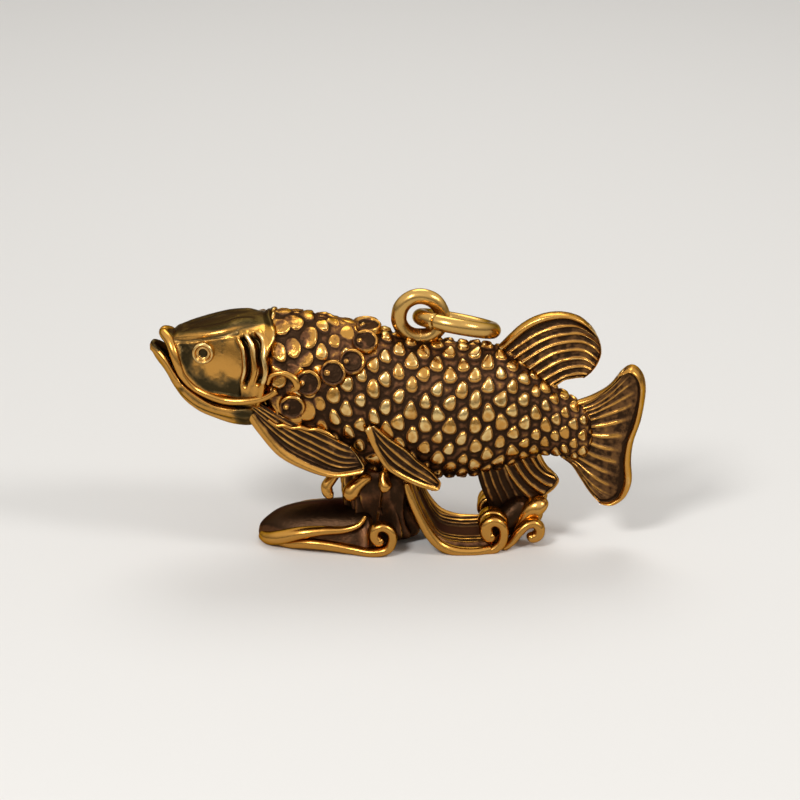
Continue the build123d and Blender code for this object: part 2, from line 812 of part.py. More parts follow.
# Anal fin, with the web that joins the belly to the crest
anal_shares = [
    (0.75, 0.35), (0.66, 0.03), (0.83, -0.08), (0.99, -0.20), (1.0, -0.26), (0.91, -0.38), (0.85, -0.52),
    (0.76, -0.62), (0.33, -0.64), (0.10, -0.95), (0.03, -0.90), (-0.12, -0.70), (-0.24, -0.42),
    (-0.34, -0.10), (-0.36, 0.35),
]
anal_root_shares = (0.12, 0.5)
anal_tip_shares = [(1.0, -0.22), (-0.1, -0.8)]
anal_corner = on_trunk(anal_place_shares)
anal_root = placed([anal_root_shares], anal_length, anal_height, anal_corner)[0]
anal_tips = placed(anal_tip_shares, anal_length, anal_height, anal_corner)
anal_grooves = strips(ray_lines(anal_root, anal_tips[0], anal_tips[1], anal_rays), ray_groove_width)
anal_web_side = anal_web_thickness / 2
anal_pockets = prism(anal_grooves, anal_web_side - anal_groove_depth, anal_web_thickness)
with BuildPart() as anal_fin:
    with BuildSketch(Plane.XZ):
        with BuildLine():
            Polyline(*placed(anal_shares, anal_length, anal_height, anal_corner), close=True)
        make_face()
    extrude(amount=anal_web_side, both=True)
    add(anal_pockets, mode=Mode.SUBTRACT)
    add(mirrored(anal_pockets), mode=Mode.SUBTRACT)
    for carried_by in (trunk_skin, rear_wave_part, rear_crest_part, rear_scroll_part):
        add(carried_by, mode=Mode.SUBTRACT)
    add(mirrored(rear_scroll_part), mode=Mode.SUBTRACT)
anal_part = largest(anal_fin.part)
finish("anal_fin", anal_part)

# Spray: small curls on the column's sides
spray_shares = [(-0.58, 0.68, 0.9), (-0.33, 0.60, 1.0), (0.08, 0.68, 0.85)]
with BuildPart() as spray:
    for along, up, size_share in spray_shares:
        x = column_centre + along * column_length
        height = up * column_height
        add(curl(x, height, spray_radius * size_share, column_half_width, column_half_width + spray_reach))
    add(trunk_skin, mode=Mode.SUBTRACT)
with BuildPart() as spray_drops:
    add(spray.part)
    mirror(about=Plane.XZ)
finish("spray_drops", spray_drops.part)

# Hanging loop, soldered on the back
loop_centre_x = gill_x + loop_place_share * trunk_length
back_centre, back_half_depth, back_half_width = section_at(loop_centre_x)
loop_centre_height = back_centre + back_half_depth + loop_mean_radius
loop_centre = Vector(loop_centre_x, 0, loop_centre_height)
with BuildPart() as hanging_loop:
    with BuildSketch(Plane.XY.offset(loop_centre_height)):
        with Locations((loop_centre_x + loop_mean_radius, 0)):
            Circle(loop_wire / 2)
    revolve(axis=Axis(loop_centre, (0, 1, 0)))
    add(trunk_skin, mode=Mode.SUBTRACT)
finish("hanging_loop", largest(hanging_loop.part))

# Jump ring: split, hung through the loop, lying back towards the dorsal fin
slope = radians(ring_slope)
tilt = radians(ring_tilt)
ring_along = Vector(cos(slope), 0, -sin(slope))
ring_upright = Vector(sin(slope), 0, cos(slope))
ring_across = Vector(0, 1, 0) * cos(tilt) - ring_upright * sin(tilt)
ring_normal = ring_along.cross(ring_across)
ring_centre = loop_centre + ring_along * ring_mean_radius
split_turn = radians(ring_split_place)
ring_start = ring_along * cos(split_turn) + ring_across * sin(split_turn)
with BuildPart() as jump_ring:
    section = Plane(origin=ring_centre, x_dir=ring_start, z_dir=ring_start.cross(ring_normal))
    with BuildSketch(section):
        with Locations((ring_mean_radius, 0)):
            Circle(ring_wire / 2)
    revolve(axis=Axis(ring_centre, ring_normal), revolution_arc=360 - ring_split_angle)
finish("jump_ring", jump_ring.part)
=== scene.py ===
from math import cos, pi, radians, sin

import bpy
import numpy as np
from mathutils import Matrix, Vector


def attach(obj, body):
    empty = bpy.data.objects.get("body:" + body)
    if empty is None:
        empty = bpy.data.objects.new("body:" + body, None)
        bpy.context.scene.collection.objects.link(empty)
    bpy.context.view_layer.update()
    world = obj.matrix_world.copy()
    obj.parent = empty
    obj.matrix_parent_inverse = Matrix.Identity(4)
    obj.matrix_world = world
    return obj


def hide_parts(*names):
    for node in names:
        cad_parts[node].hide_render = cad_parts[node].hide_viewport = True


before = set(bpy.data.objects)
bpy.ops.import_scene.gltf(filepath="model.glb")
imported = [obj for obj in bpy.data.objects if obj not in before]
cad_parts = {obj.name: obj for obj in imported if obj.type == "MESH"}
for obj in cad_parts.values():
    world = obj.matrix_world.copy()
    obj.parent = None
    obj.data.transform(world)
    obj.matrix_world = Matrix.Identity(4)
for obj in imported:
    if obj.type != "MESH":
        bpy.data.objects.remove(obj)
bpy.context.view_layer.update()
mm = 0.001
standing = 0.02     # how far in millimetres the visible water stays above the floor

# The view that the piece is made to: slope in degrees, lengths in millimetres, places in its 800 pixels
view = {"slope": 20, "distance": 400, "width": 89.6, "pixels": 800, "middle": 397, "ground": 539,
        "aim": (0.34, 0, 16.57), "sensor": 36}


def seen(px, py, y=0):
    # the place in millimetres of a point seen at a pixel, y back from the middle plane
    step = view["width"] / view["pixels"]
    slope = radians(view["slope"])
    return ((px - view["middle"]) * step, y, ((view["ground"] - py) * step - y * sin(slope)) / cos(slope))


def smoothLine(points, places, closed=False, every=None):
    # a smooth curve through the points, read at places from 0 to 1, or for each place a curve of its own
    points = np.asarray(points, float)
    count = len(points)
    places = np.clip(places, 0, 1) * (count if closed else count - 1)
    first = np.minimum(places.astype(int), count - 1 if closed else count - 2)
    four = ((first + k) % count if closed else np.clip(first + k, 0, count - 1) for k in (-1, 0, 1, 2))
    a, b, c, d = (points[k] if every is None else points[k, every] for k in four)
    t = (places - first).reshape((-1,) + (1,) * (b.ndim - 1))
    return 0.5 * (2 * b + (c - a) * t + (2 * a - 5 * b + 4 * c - d) * t ** 2 + (3 * b - a - 3 * c + d) * t ** 3)


def smoothSheet(rows, along, across, closed=False):
    # a smooth surface through rows of points: along runs down each row, across from row to row
    return smoothLine([smoothLine(row, along) for row in rows], across, closed, np.arange(len(along)))


def ease(low, high, value):
    t = np.clip((value - low) / (high - low), 0, 1)
    return t * t * (3 - 2 * t)


def roundEnd(value):
    # rises from 0 to 1 as a quarter of a circle does
    return np.sqrt(np.clip(1 - (1 - np.clip(value, 0, 1)) ** 2, 0, 1))


def bell(value):
    return np.exp(-value ** 2)


def unit(vectors):
    return vectors / np.maximum(np.linalg.norm(vectors, axis=-1, keepdims=True), 1e-9)


def lengthOf(points):
    return np.linalg.norm(np.diff(points, axis=0), axis=1).sum()


def readTable(table, places):
    return np.interp(places, *zip(*table))


def roundStroke(points, line, width, rise, steps=90, fade=0.12):
    # a raised roll, or with a negative rise a cut, along a line in the side view
    path = smoothLine(line, np.linspace(0, 1, steps))
    gap = np.full(len(points), np.inf)
    share = np.zeros(len(points))
    for number, (a, b) in enumerate(zip(path, path[1:])):
        t = np.clip(((points - a) @ (b - a)) / ((b - a) @ (b - a)), 0, 1)
        d = np.linalg.norm(points - a - t[:, None] * (b - a), axis=1)
        nearer = d < gap
        gap[nearer] = d[nearer]
        share[nearer] = (number + t[nearer]) / (steps - 1)
    ends = ease(0, fade, share) * ease(0, fade, 1 - share)
    return rise * ends * roundEnd(1 - gap / width)


# Chance values: how three whole numbers are mixed, and how far apart two patterns of noise lie
scatter = {"mix": (12.9898, 78.233, 37.719), "spread": 43758.5453, "apart": 17.3}


def spreadOut(mixed):
    value = np.sin(mixed) * scatter["spread"]
    return value - np.floor(value)


def chance(*numbers):
    # a chance value from 0 to 1 that is always the same for the same three numbers
    return spreadOut(sum(number * share for number, share in zip(numbers, scatter["mix"])))


def softNoise(points, size, seed=0):
    # smooth chance values from 0 to 1 over lumps of about this size
    places = points / size + scatter["apart"] * seed
    cell = np.floor(places)
    part = places - cell
    part = part * part * (3 - 2 * part)
    total = np.zeros(len(points))
    for corner in range(8):
        step = np.array([corner & 1, corner >> 1 & 1, corner >> 2 & 1])
        share = np.prod(np.where(step, part, 1 - part), axis=1)
        total += spreadOut((cell + step) @ np.array(scatter["mix"])) * share
    return total


def deselect():
    bpy.ops.object.select_all(action="DESELECT")


def readEach(piece, kind):
    # three numbers for each point: its place in metres ("co") or the way it faces ("normal")
    values = np.empty(len(piece.data.vertices) * 3)
    piece.data.vertices.foreach_get(kind, values)
    return values.reshape(-1, 3)


def readPoints(piece):
    return readEach(piece, "co") / mm


def writePoints(piece, points):
    piece.data.vertices.foreach_set("co", (points * mm).ravel())
    piece.data.update()


def shapeTo(piece, points):
    # moves a piece's points to their places in millimetres, none below the floor, and turns its faces out
    points[:, 2] = np.maximum(points[:, 2], standing)
    writePoints(piece, points)
    deselect()
    piece.select_set(True)
    bpy.context.view_layer.objects.active = piece
    bpy.ops.object.mode_set(mode="EDIT")
    bpy.ops.mesh.select_all(action="SELECT")
    bpy.ops.mesh.normals_make_consistent(inside=False)
    bpy.ops.object.mode_set(mode="OBJECT")
    bpy.ops.object.shade_smooth()


def startBall(name, fine):
    # a ball to be pulled into shape: the turn round its axis, and the share of the way from its first pole
    deselect()
    bpy.ops.mesh.primitive_uv_sphere_add(segments=fine[0], ring_count=fine[1], radius=1)
    piece = bpy.context.object
    piece.name = name
    x, y, z = readEach(piece, "co").T
    return piece, np.arctan2(y, x), np.arccos(np.clip(z, -1, 1)) / pi


def wearAndShade(piece, reach, gain, more=0, pull=0.6):
    # what stands proud of the shape softened in so many steps is rubbed bright, and what lies lower stays dark
    # more adds each piece's own marks; on some pieces these are painted shade and painted highlights
    points = readPoints(piece)
    count = len(points)
    ends = np.empty(len(piece.data.edges) * 2, int)
    piece.data.edges.foreach_get("vertices", ends)
    ends = ends.reshape(-1, 2)
    degree = np.maximum(np.bincount(ends.ravel(), minlength=count), 1)[:, None]
    soft = points.copy()
    for _ in range(reach):
        total = np.stack([np.bincount(ends[:, 0], soft[ends[:, 1], k], count)
                          + np.bincount(ends[:, 1], soft[ends[:, 0], k], count) for k in range(3)], 1)
        soft = (1 - pull) * soft + pull * total / degree
    worn = 0.5 + gain * ((points - soft) * readEach(piece, "normal")).sum(1) + more
    piece.data.attributes.new("worn", "FLOAT", "POINT").data.foreach_set("value", np.clip(worn, 0, 1))


def settle(piece, finish, nodes, body="fish"):
    piece.data.materials.clear()
    piece.data.materials.append(finish)
    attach(piece, body)
    if nodes:
        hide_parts(*nodes)


def mirrorCopy(piece):
    # the same piece on the fish's other side, with its own mesh
    copy = piece.copy()
    copy.data = piece.data.copy()
    copy.name = piece.name.replace("Left", "Right") if "Left" in piece.name else piece.name + "Right"
    bpy.context.collection.objects.link(copy)
    writePoints(copy, readPoints(copy) * (1, -1, 1))
    copy.data.flip_normals()
    return copy


def settlePair(piece, finish, nodes):
    # the near piece with its nodes, and its mirror twin with those that have a right-hand twin
    settle(piece, finish, nodes)
    settle(mirrorCopy(piece), finish, [node.replace("left", "right") for node in nodes if "left" in node])


# What a roll has unless its own dictionary says otherwise
rollBase = {"fine": (32, 150), "boxy": 2, "step": 0.004, "blunt": (0.004, 0.3)}


def roll(name, form, shape=None):
    # a rolled or ribbon-like form along a line of places, each with its half width across the fish and its half
    # thickness; boxy above 2 squares its section
    form = {**rollBase, **form}
    line, step = np.array(form["line"], float), form["step"]
    path, wide, thick = line[:, :3], line[:, 3], line[:, 4]
    piece, turn, share = startBall(name, form["fine"])
    tangent = unit(smoothLine(path, share + step) - smoothLine(path, share - step))
    up = unit(np.cross(tangent, (0, 1, 0)))
    across = np.cross(up, tangent)
    length = lengthOf(smoothLine(path, np.linspace(0, 1, 80)))
    cap = roundEnd(share / np.clip(thick[0] / length, *form["blunt"]))
    cap = cap * roundEnd((1 - share) / np.clip(thick[-1] / length, *form["blunt"]))
    sideways, upwards = (np.sign(v) * np.abs(v) ** (2 / form["boxy"]) for v in (np.cos(turn), np.sin(turn)))
    sideways = sideways * smoothLine(wide, share)
    high = upwards * smoothLine(thick, share) + (shape(share, sideways, upwards) if shape else 0)
    shapeTo(piece, smoothLine(path, share) + across * (sideways * cap)[:, None] + up * (high * cap)[:, None])
    return piece


# What a fin has unless its own dictionary says otherwise, in millimetres
finBase = {"bend": 0, "gain": 1.8, "shine": 0.26, "reach": 16, "step": 0.01, "thinner": 0.4, "wander": 0.22,
           "groove": 0.1, "edge": 0.45, "rimShine": 0.3, "grooveDark": 0.22, "uneven": 0.26}


def fin(name, form):
    # a fin: rows of places from its root to its tips, its half thickness, its rays and its rolled rims
    form = {**finBase, **form}
    deselect()
    alongFine, acrossFine = form["fine"]
    bpy.ops.mesh.primitive_grid_add(
        x_subdivisions=alongFine, y_subdivisions=acrossFine, size=1, location=(0.5, 0.5, 0))
    piece = bpy.context.object
    piece.name = name
    bpy.ops.object.mode_set(mode="EDIT")
    bpy.ops.mesh.select_all(action="SELECT")
    bpy.ops.mesh.extrude_region_move(TRANSFORM_OT_translate={"value": (0, 0, 1)})
    bpy.ops.object.mode_set(mode="OBJECT")
    deselect()
    piece.select_set(True)
    bpy.ops.object.transform_apply(location=True, rotation=True, scale=True)
    along, across, layer = readEach(piece, "co").T
    places = [[seen(*place) for place in row] for row in form["rows"]]
    step = form["step"]
    centre = smoothSheet(places, along, across)
    down = smoothSheet(places, along + step, across) - smoothSheet(places, along - step, across)
    sideways = smoothSheet(places, along, across + step) - smoothSheet(places, along, across - step)
    samples, levels = np.linspace(0, 1, 30), np.linspace(0, 1, 12)
    runs = [lengthOf(smoothLine(row, samples)) for row in places]
    spans = [lengthOf(smoothSheet(places, np.full(len(samples), level), samples)) for level in levels]
    runHere = np.interp(across, np.linspace(0, 1, len(runs)), runs)
    spanHere = np.interp(along, levels, spans)
    edges = {"lead": across * spanHere, "trail": (1 - across) * spanHere, "tip": (1 - along) * runHere}
    wander = form["wander"] * (softNoise(centre, 3) - 0.5)
    turn = 2 * pi * (form["rays"] * across + form["bend"] * along ** 2 + wander)
    rays = (0.5 + 0.5 * np.cos(turn)) ** form["sharp"] * (1 - ease(*form["rayFade"], along))
    rays = rays * (0.6 + 0.8 * softNoise(centre, 1.6, 2))
    inside, groove, crest = 1 + 0 * along, 0 * along, 0 * along
    for edge, (radius, high) in form["rims"].items():
        inside = inside * ease(radius * 1.7, radius * 2.7, edges[edge])
        groove = np.maximum(groove, bell((edges[edge] - 2.2 * radius) / (0.45 * radius)))
    half = (form["web"] * (1 - form["thinner"] * along) + form["rise"] * rays * (0.1 + 0.9 * inside)
            - form["groove"] * groove)
    half = half * np.maximum(roundEnd(np.minimum.reduce(list(edges.values())) / form["edge"]), 0.1)
    for edge, (radius, high) in form["rims"].items():
        bump = roundEnd(1 - np.abs(edges[edge] / radius - 1))
        crest = np.maximum(crest, ease(0.2, 0.85, bump))
        half = np.maximum(half, high * bump)
    shapeTo(piece, centre + unit(np.cross(down, sideways)) * (half * (2 * layer - 1))[:, None])
    uneven = 0.6 * softNoise(centre, 0.5, 3) + 0.4 * softNoise(centre, 1.4, 4) - 0.5
    more = (form["rimShine"] * crest + form["shine"] * rays * inside - form["dark"] * inside * (1 - rays)
            + form["uneven"] * uneven - form["grooveDark"] * groove)
    wearAndShade(piece, form["reach"], form["gain"], more)
    return piece


# Finishes: an aged casting, dark in its hollows and rubbed bright where it stands proud. A noise is its scale for
# each metre and its detail; shiny and dull are steps past the change from brown to brass
aging = {"fine": (2600, 3), "grain": (7000, 2), "broad": (420, 3), "rough": 0.6, "shiny": (0.14, 0.46),
         "dull": (0.12, 0.02), "polish": 0.23, "uneven": 0.16, "metal": 0.93, "pits": 1.15, "bumpDeep": 0.00012,
         "glint": (0.5, 0.4, 0.24, 1)}


def give(tree, node, given):
    # a node's sockets get plain values or other nodes' outputs
    for socket, value in given.items():
        if isinstance(value, bpy.types.NodeSocket):
            tree.links.new(value, node.inputs[socket])
        else:
            node.inputs[socket].default_value = value


def addNode(tree, kind, given=(), **settings):
    node = tree.nodes.new("ShaderNode" + kind)
    for name, value in settings.items():
        setattr(node, name, value)
    give(tree, node, dict(given))
    return node


def wearAndShadeGroup():
    group = bpy.data.node_groups.new("agedBrassWearAndShade", "ShaderNodeTree")
    for way, kind, names in (
            ("INPUT", "Float", "Worn Level Softness Speckle Dull"),
            ("INPUT", "Color", "Patina Brown Brass Bright"),
            ("OUTPUT", "Color", "Color"), ("OUTPUT", "Float", "Roughness Metallic Height")):
        for name in names.split():
            group.interface.new_socket(name=name, in_out=way, socket_type="NodeSocket" + kind)
    coming, going = group.nodes.new("NodeGroupInput").outputs, group.nodes.new("NodeGroupOutput")
    coords = addNode(group, "TexCoord").outputs["Object"]

    def noise(scale, detail):
        given = {"Scale": scale, "Detail": detail, "Roughness": aging["rough"], "Vector": coords}
        return addNode(group, "TexNoise", given).outputs["Fac"]

    def maths(kind, *values):
        return addNode(group, "Math", enumerate(values), operation=kind).outputs[0]

    def between(value, low, high, start=0, end=1):
        given = {"Value": value, "From Min": low, "From Max": high, "To Min": start, "To Max": end}
        return addNode(group, "MapRange", given, interpolation_type="SMOOTHSTEP").outputs[0]

    def mixed(factor, a, b):
        return addNode(group, "Mix", {0: factor, 6: a, 7: b}, data_type="RGBA").outputs[2]

    fine, grain, broad = (noise(*aging[name]) for name in ("fine", "grain", "broad"))
    blotch = coming["Worn"]
    for speckle in (fine, broad):
        blotch = maths("MULTIPLY_ADD", maths("SUBTRACT", speckle, 0.5), coming["Speckle"], blotch)
    low = maths("SUBTRACT", coming["Level"], coming["Softness"])
    high = maths("ADD", coming["Level"], coming["Softness"])
    rubbed = between(blotch, low, high)
    shiny = between(blotch, *(maths("ADD", high, step) for step in aging["shiny"]))
    dull = between(blotch, maths("SUBTRACT", low, aging["dull"][0]), maths("ADD", low, aging["dull"][1]))
    colour = mixed(dull, coming["Patina"], coming["Brown"])
    colour = mixed(shiny, mixed(rubbed, colour, coming["Brass"]), coming["Bright"])
    rough = between(rubbed, 0, 1, coming["Dull"], aging["polish"])
    rough = maths("MULTIPLY_ADD", maths("SUBTRACT", fine, 0.5), aging["uneven"], rough)
    pits = maths("ADD", fine, maths("MULTIPLY", grain, 0.5))
    pits = maths("MULTIPLY", maths("SUBTRACT", aging["pits"], rubbed), pits)
    metal = between(rubbed, 0, 1, aging["metal"], 1)
    give(group, going, {"Color": colour, "Roughness": rough, "Metallic": metal, "Height": pits})
    return group


agedWearAndShade = wearAndShadeGroup()


def finishOf(name, looks):
    material = bpy.data.materials.new(name)
    material.use_nodes = True
    tree = material.node_tree
    sockets = {key.capitalize(): value for key, value in looks.items() if key != "bump"}
    # the attribute read here holds patina and wear, and on some pieces painted shade and painted highlights
    sockets["Worn"] = addNode(tree, "Attribute", attribute_name="worn").outputs["Fac"]
    aged = addNode(tree, "Group", sockets, node_tree=agedWearAndShade).outputs
    bump = addNode(tree, "Bump", {
        "Strength": looks["bump"], "Distance": aging["bumpDeep"], "Height": aged["Height"]})
    give(tree, tree.nodes["Principled BSDF"], {
        "Specular Tint": aging["glint"], "Base Color": aged["Color"], "Roughness": aged["Roughness"],
        "Metallic": aged["Metallic"], "Normal": bump.outputs["Normal"]})
    return material


castLooks = {
    "level": 0.58, "softness": 0.09, "speckle": 0.26, "bump": 0.6, "dull": 0.48,
    "patina": (0.036, 0.018, 0.009, 1), "brown": (0.125, 0.054, 0.025, 1),
    "brass": (0.53, 0.262, 0.056, 1), "bright": (0.82, 0.62, 0.27, 1)}
castBrass = finishOf("castBrass", castLooks)
finBrass = finishOf("finBrass", {**castLooks, "softness": 0.13, "brown": (0.15, 0.072, 0.028, 1)})
waveBrass = finishOf("waveBrass", {**castLooks, "softness": 0.1, "speckle": 0.14, "bump": 0.3, "dull": 0.36})
headBrass = finishOf("headBrass", {
    **castLooks, "level": 0.52, "softness": 0.12, "speckle": 0.16, "bump": 0.3, "dull": 0.32,
    "patina": (0.04, 0.028, 0.011, 1), "brown": (0.105, 0.066, 0.024, 1)})
wireBrass = finishOf("wireBrass", {
    **castLooks, "level": 0.42, "softness": 0.12, "speckle": 0.07, "bump": 0.15, "brass": (0.56, 0.33, 0.095, 1)})
print("finishes made")

# Coins on their string: half profile from the front pole, and each one's place along the body and angle up the
# flank. The trunk's pads stop short of them
coins = {
    "profile": [(0, 0.26), (0.36, 0.26), (0.56, 0.24), (0.88, 0.23), (1, 0.27), (1.12, 0.42), (1.26, 0.47),
                (1.4, 0.36), (1.46, 0.12), (1.44, -0.3), (1.1, -0.46), (0, -0.46)],
    "places": [(-11.56, -8), (-9.75, 15), (-7.04, 26), (-4.92, 38), (-3.49, 60)], "ridge": (-3.14, 82),
    "bare": (1.2, 1.6), "proud": 0.12, "fine": (40, 60), "wearAndShade": (12, 2.6), "face": 1.05, "knob": 0.4,
}

# The trunk: x, centre height, half depth and half width of its sections, in millimetres
trunk = {
    "sections": [(-16.5, 21.04, 6.24, 5.02), (-13.8, 19.95, 7.24, 5.58), (-10.9, 18.9, 8, 6.01),
                 (-5.31, 17.7, 8.4, 6.2), (0.33, 16.14, 8.16, 6.2), (7.08, 15.6, 7.8, 6.01),
                 (11.49, 15.76, 7.12, 5.02), (16, 14.9, 4.8, 3.47), (19.9, 13.3, 3.68, 2.23),
                 (22.1, 12.56, 3.36, 1.61)],
    "fine": (312, 314), "from": -15, "inset": 0.18, "wearAndShade": (26, 2.2),
    "chestEnd": (0.012, 0.05), "tailEnd": 0.035,
    "columnPitch": [(-17, 1.75), (-10, 1.5), (-4, 1.42), (12, 1.4), (17, 1.12), (23, 1)],
    "rowPitch": [(-17, 3), (-4, 2.95), (10, 2.8), (16, 2.3), (23, 1.9)],
    "padFade": [(-17, 1), (12, 1), (18, 0.8), (23, 0.6)],
    "neck": (-6, -10.5), "ringRoom": (-7.8, -6.9, -4.6, -3.6), "ringUp": (0.75, 1), "ringPads": 0.25,
}
# Its scale pads, in shares of their pitch. Chances (least, range, pattern): size, move along and up, height,
# lean, tallness, taper, slope along and up, shine. Neck (on the body, more on the neck): how far chance and drift
# move a pad along and up, half height, half width, taper
pads = {
    "chances": [(0.9, 0.28, 1), (-0.5, 1, 2), (-0.5, 1, 3), (0.8, 0.4, 4), (-0.23, 0.7, 5), (0.9, 0.2, 6),
                (0.5, 1, 7), (-0.126, 0.42, 8), (-0.21, 0.42, 10), (0, 1, 11)],
    "neck": [(0.24, 0.4), (0.4, 0.6), (0, 0.5), (0, 0.6), (0.345, 0.06), (0.47, 0.17), (0.4, -0.4)],
    "high": 0.34, "edge": (0.7, 1.05), "round": 2.2, "dome": (0.8, 0.5), "neckLower": 0.62,
    "neckRim": {"at": 0.86, "wide": 0.14, "high": 0.15},
}


def trunkSection(x):
    stations = np.array(trunk["sections"])
    share = np.interp(x, stations[:, 0], np.linspace(0, 1, len(stations)))
    values = smoothLine(stations, share)
    return values[:, 1], values[:, 2], values[:, 3]


def trunkSpot(x, angle):
    # a place on the trunk's plain surface and the way out from it
    centre, deep, wide = (value[0] for value in trunkSection(np.array([float(x)])))
    up = radians(angle)
    out = np.array((0, -cos(up) / wide, sin(up) / deep))
    return np.array((x, -wide * cos(up), centre + deep * sin(up))), out / np.linalg.norm(out)


def makeTrunk():
    piece, turn, share = startBall("trunkScales", trunk["fine"])
    first, last = trunk["from"], trunk["sections"][-1][0]
    frontEnd, chestMore = trunk["chestEnd"]
    cap = roundEnd(share / (frontEnd + chestMore * ease(0.1, -0.6, np.sin(turn))))
    cap = cap * roundEnd((1 - share) / trunk["tailEnd"])
    x = first + (last - first) * share
    centre, deep, wide = trunkSection(x)
    deep, wide = deep - trunk["inset"], wide - trunk["inset"]
    points = np.stack([x, -wide * np.cos(turn) * cap, centre + deep * np.sin(turn) * cap], 1)
    normal = unit(np.stack([0 * x, -np.cos(turn) / wide, np.sin(turn) / deep], 1))
    lift = np.arcsin(np.clip(np.sin(turn), -1, 1))      # angle up the flank, the same on both sides
    steps = (np.arange(24) + 0.5) / 24
    arc = sum(np.sqrt((deep * np.cos(lift * t)) ** 2 + (wide * np.sin(lift * t)) ** 2) for t in steps) * lift / 24
    fine = np.linspace(-18, 23, 800)
    column = np.interp(x, fine, np.cumsum((fine[1] - fine[0]) / readTable(trunk["columnPitch"], fine)))
    columnPitch, rowPitch = readTable(trunk["columnPitch"], x), readTable(trunk["rowPitch"], x)
    neck = ease(*trunk["neck"], x)
    drift = softNoise(points, 2.2, 4) - 0.5
    farX, farZ, driftX, driftZ, padTall, padWide, padTaper = (body + more * neck for body, more in pads["neck"])
    rim = pads["neckRim"]
    pad, top, edge, glow = (np.zeros(len(points)) for _ in range(4))
    far = np.full(len(points), 9)
    for number in range(9):     # the pad nearest to each point and its eight neighbours
        nearest = np.round(column) + (number // 3 - 1)
        row = arc / rowPitch + 0.5 * (nearest % 2)
        place = np.round(row + (number % 3 - 1))
        size, moveX, moveZ, high, lean, tall, taper, slopeX, slopeZ, shine = (
            least + more * chance(nearest, place, pattern) for least, more, pattern in pads["chances"])
        dx = (column - nearest) * columnPitch + farX * moveX + driftX * drift
        dz = (row - place) * rowPitch + farZ * moveZ + driftZ * drift
        dx, dz = dx * np.cos(lean) - dz * np.sin(lean), dx * np.sin(lean) + dz * np.cos(lean)
        v = dz / (padTall * rowPitch * size * tall)
        u = dx / (padWide * columnPitch * size * np.clip(1 - padTaper * taper * v, 0.3, 2))
        d = (np.abs(u) ** pads["round"] + np.abs(v) ** pads["round"]) ** (1 / pads["round"])
        flat = 1 - ease(*pads["edge"], d)
        edgeUp = ease(-0.9, 0.9, u - 0.35 * v)
        dome = pads["dome"][0] + pads["dome"][1] * (1 - np.minimum(d, 1) ** 2)
        high = pads["high"] * high * flat * dome * (1 + slopeX * u + slopeZ * v)
        high = high * (1 - neck * pads["neckLower"] * (1 - edgeUp))
        high = high + rim["high"] * neck * bell((d - rim["at"]) / rim["wide"]) * edgeUp
        higher = high > pad
        for kept, value in ((pad, high), (top, flat), (edge, edgeUp), (glow, shine)):
            kept[higher] = value[higher]
        far = np.minimum(far, d)
    pad = pad * readTable(trunk["padFade"], x)
    folded = np.stack([points[:, 0], -np.abs(points[:, 1]), points[:, 2]], 1)
    for spot, angle in coins["places"] + [coins["ridge"]]:
        pad = pad * ease(*coins["bare"], np.linalg.norm(folded - trunkSpot(spot, angle)[0], axis=1))
    frontOut, frontIn, rearIn, rearOut = trunk["ringRoom"]
    ringRoom = ease(frontOut, frontIn, x) * ease(rearOut, rearIn, x) * ease(*trunk["ringUp"], lift)
    pad = pad * (1 - (1 - trunk["ringPads"]) * ringRoom)
    net = (0.05 * ease(1.1, 1.6, far) + 0.1 * neck * (softNoise(points, 0.55, 5) - 0.5)
           + 0.05 * (softNoise(points, 0.4, 6) - 0.5))
    tucked = 0.9 * ease(-13.7, -14.3, x)        # under the back of the head
    points = points + normal * ((pad + net - 0.02) * cap)[:, None]
    points = points - normal * (tucked * ease(18.6, 20.4, points[:, 2]))[:, None]
    shapeTo(piece, points)
    # painted shade where the trunk's front end tucks under the head and its tail end runs into the tail fin
    paintedShadeAtEnds = 0.5 * ease(21.2, 21.9, x) + 0.8 * ease(0.03, 0.005, share)
    more = top * (0.1 + 0.12 * glow) * (1 - 0.6 * neck * (1 - edge)) - 0.12 * neck - paintedShadeAtEnds
    # the underside of the belly is darkened as painted shade
    wearAndShade(piece, *trunk["wearAndShade"], more - 0.3 * ease(0.9, 1.3, np.abs(lift)) * (lift < 0))
    return piece


settle(makeTrunk(), castBrass, ["trunk"])
print("trunk made")

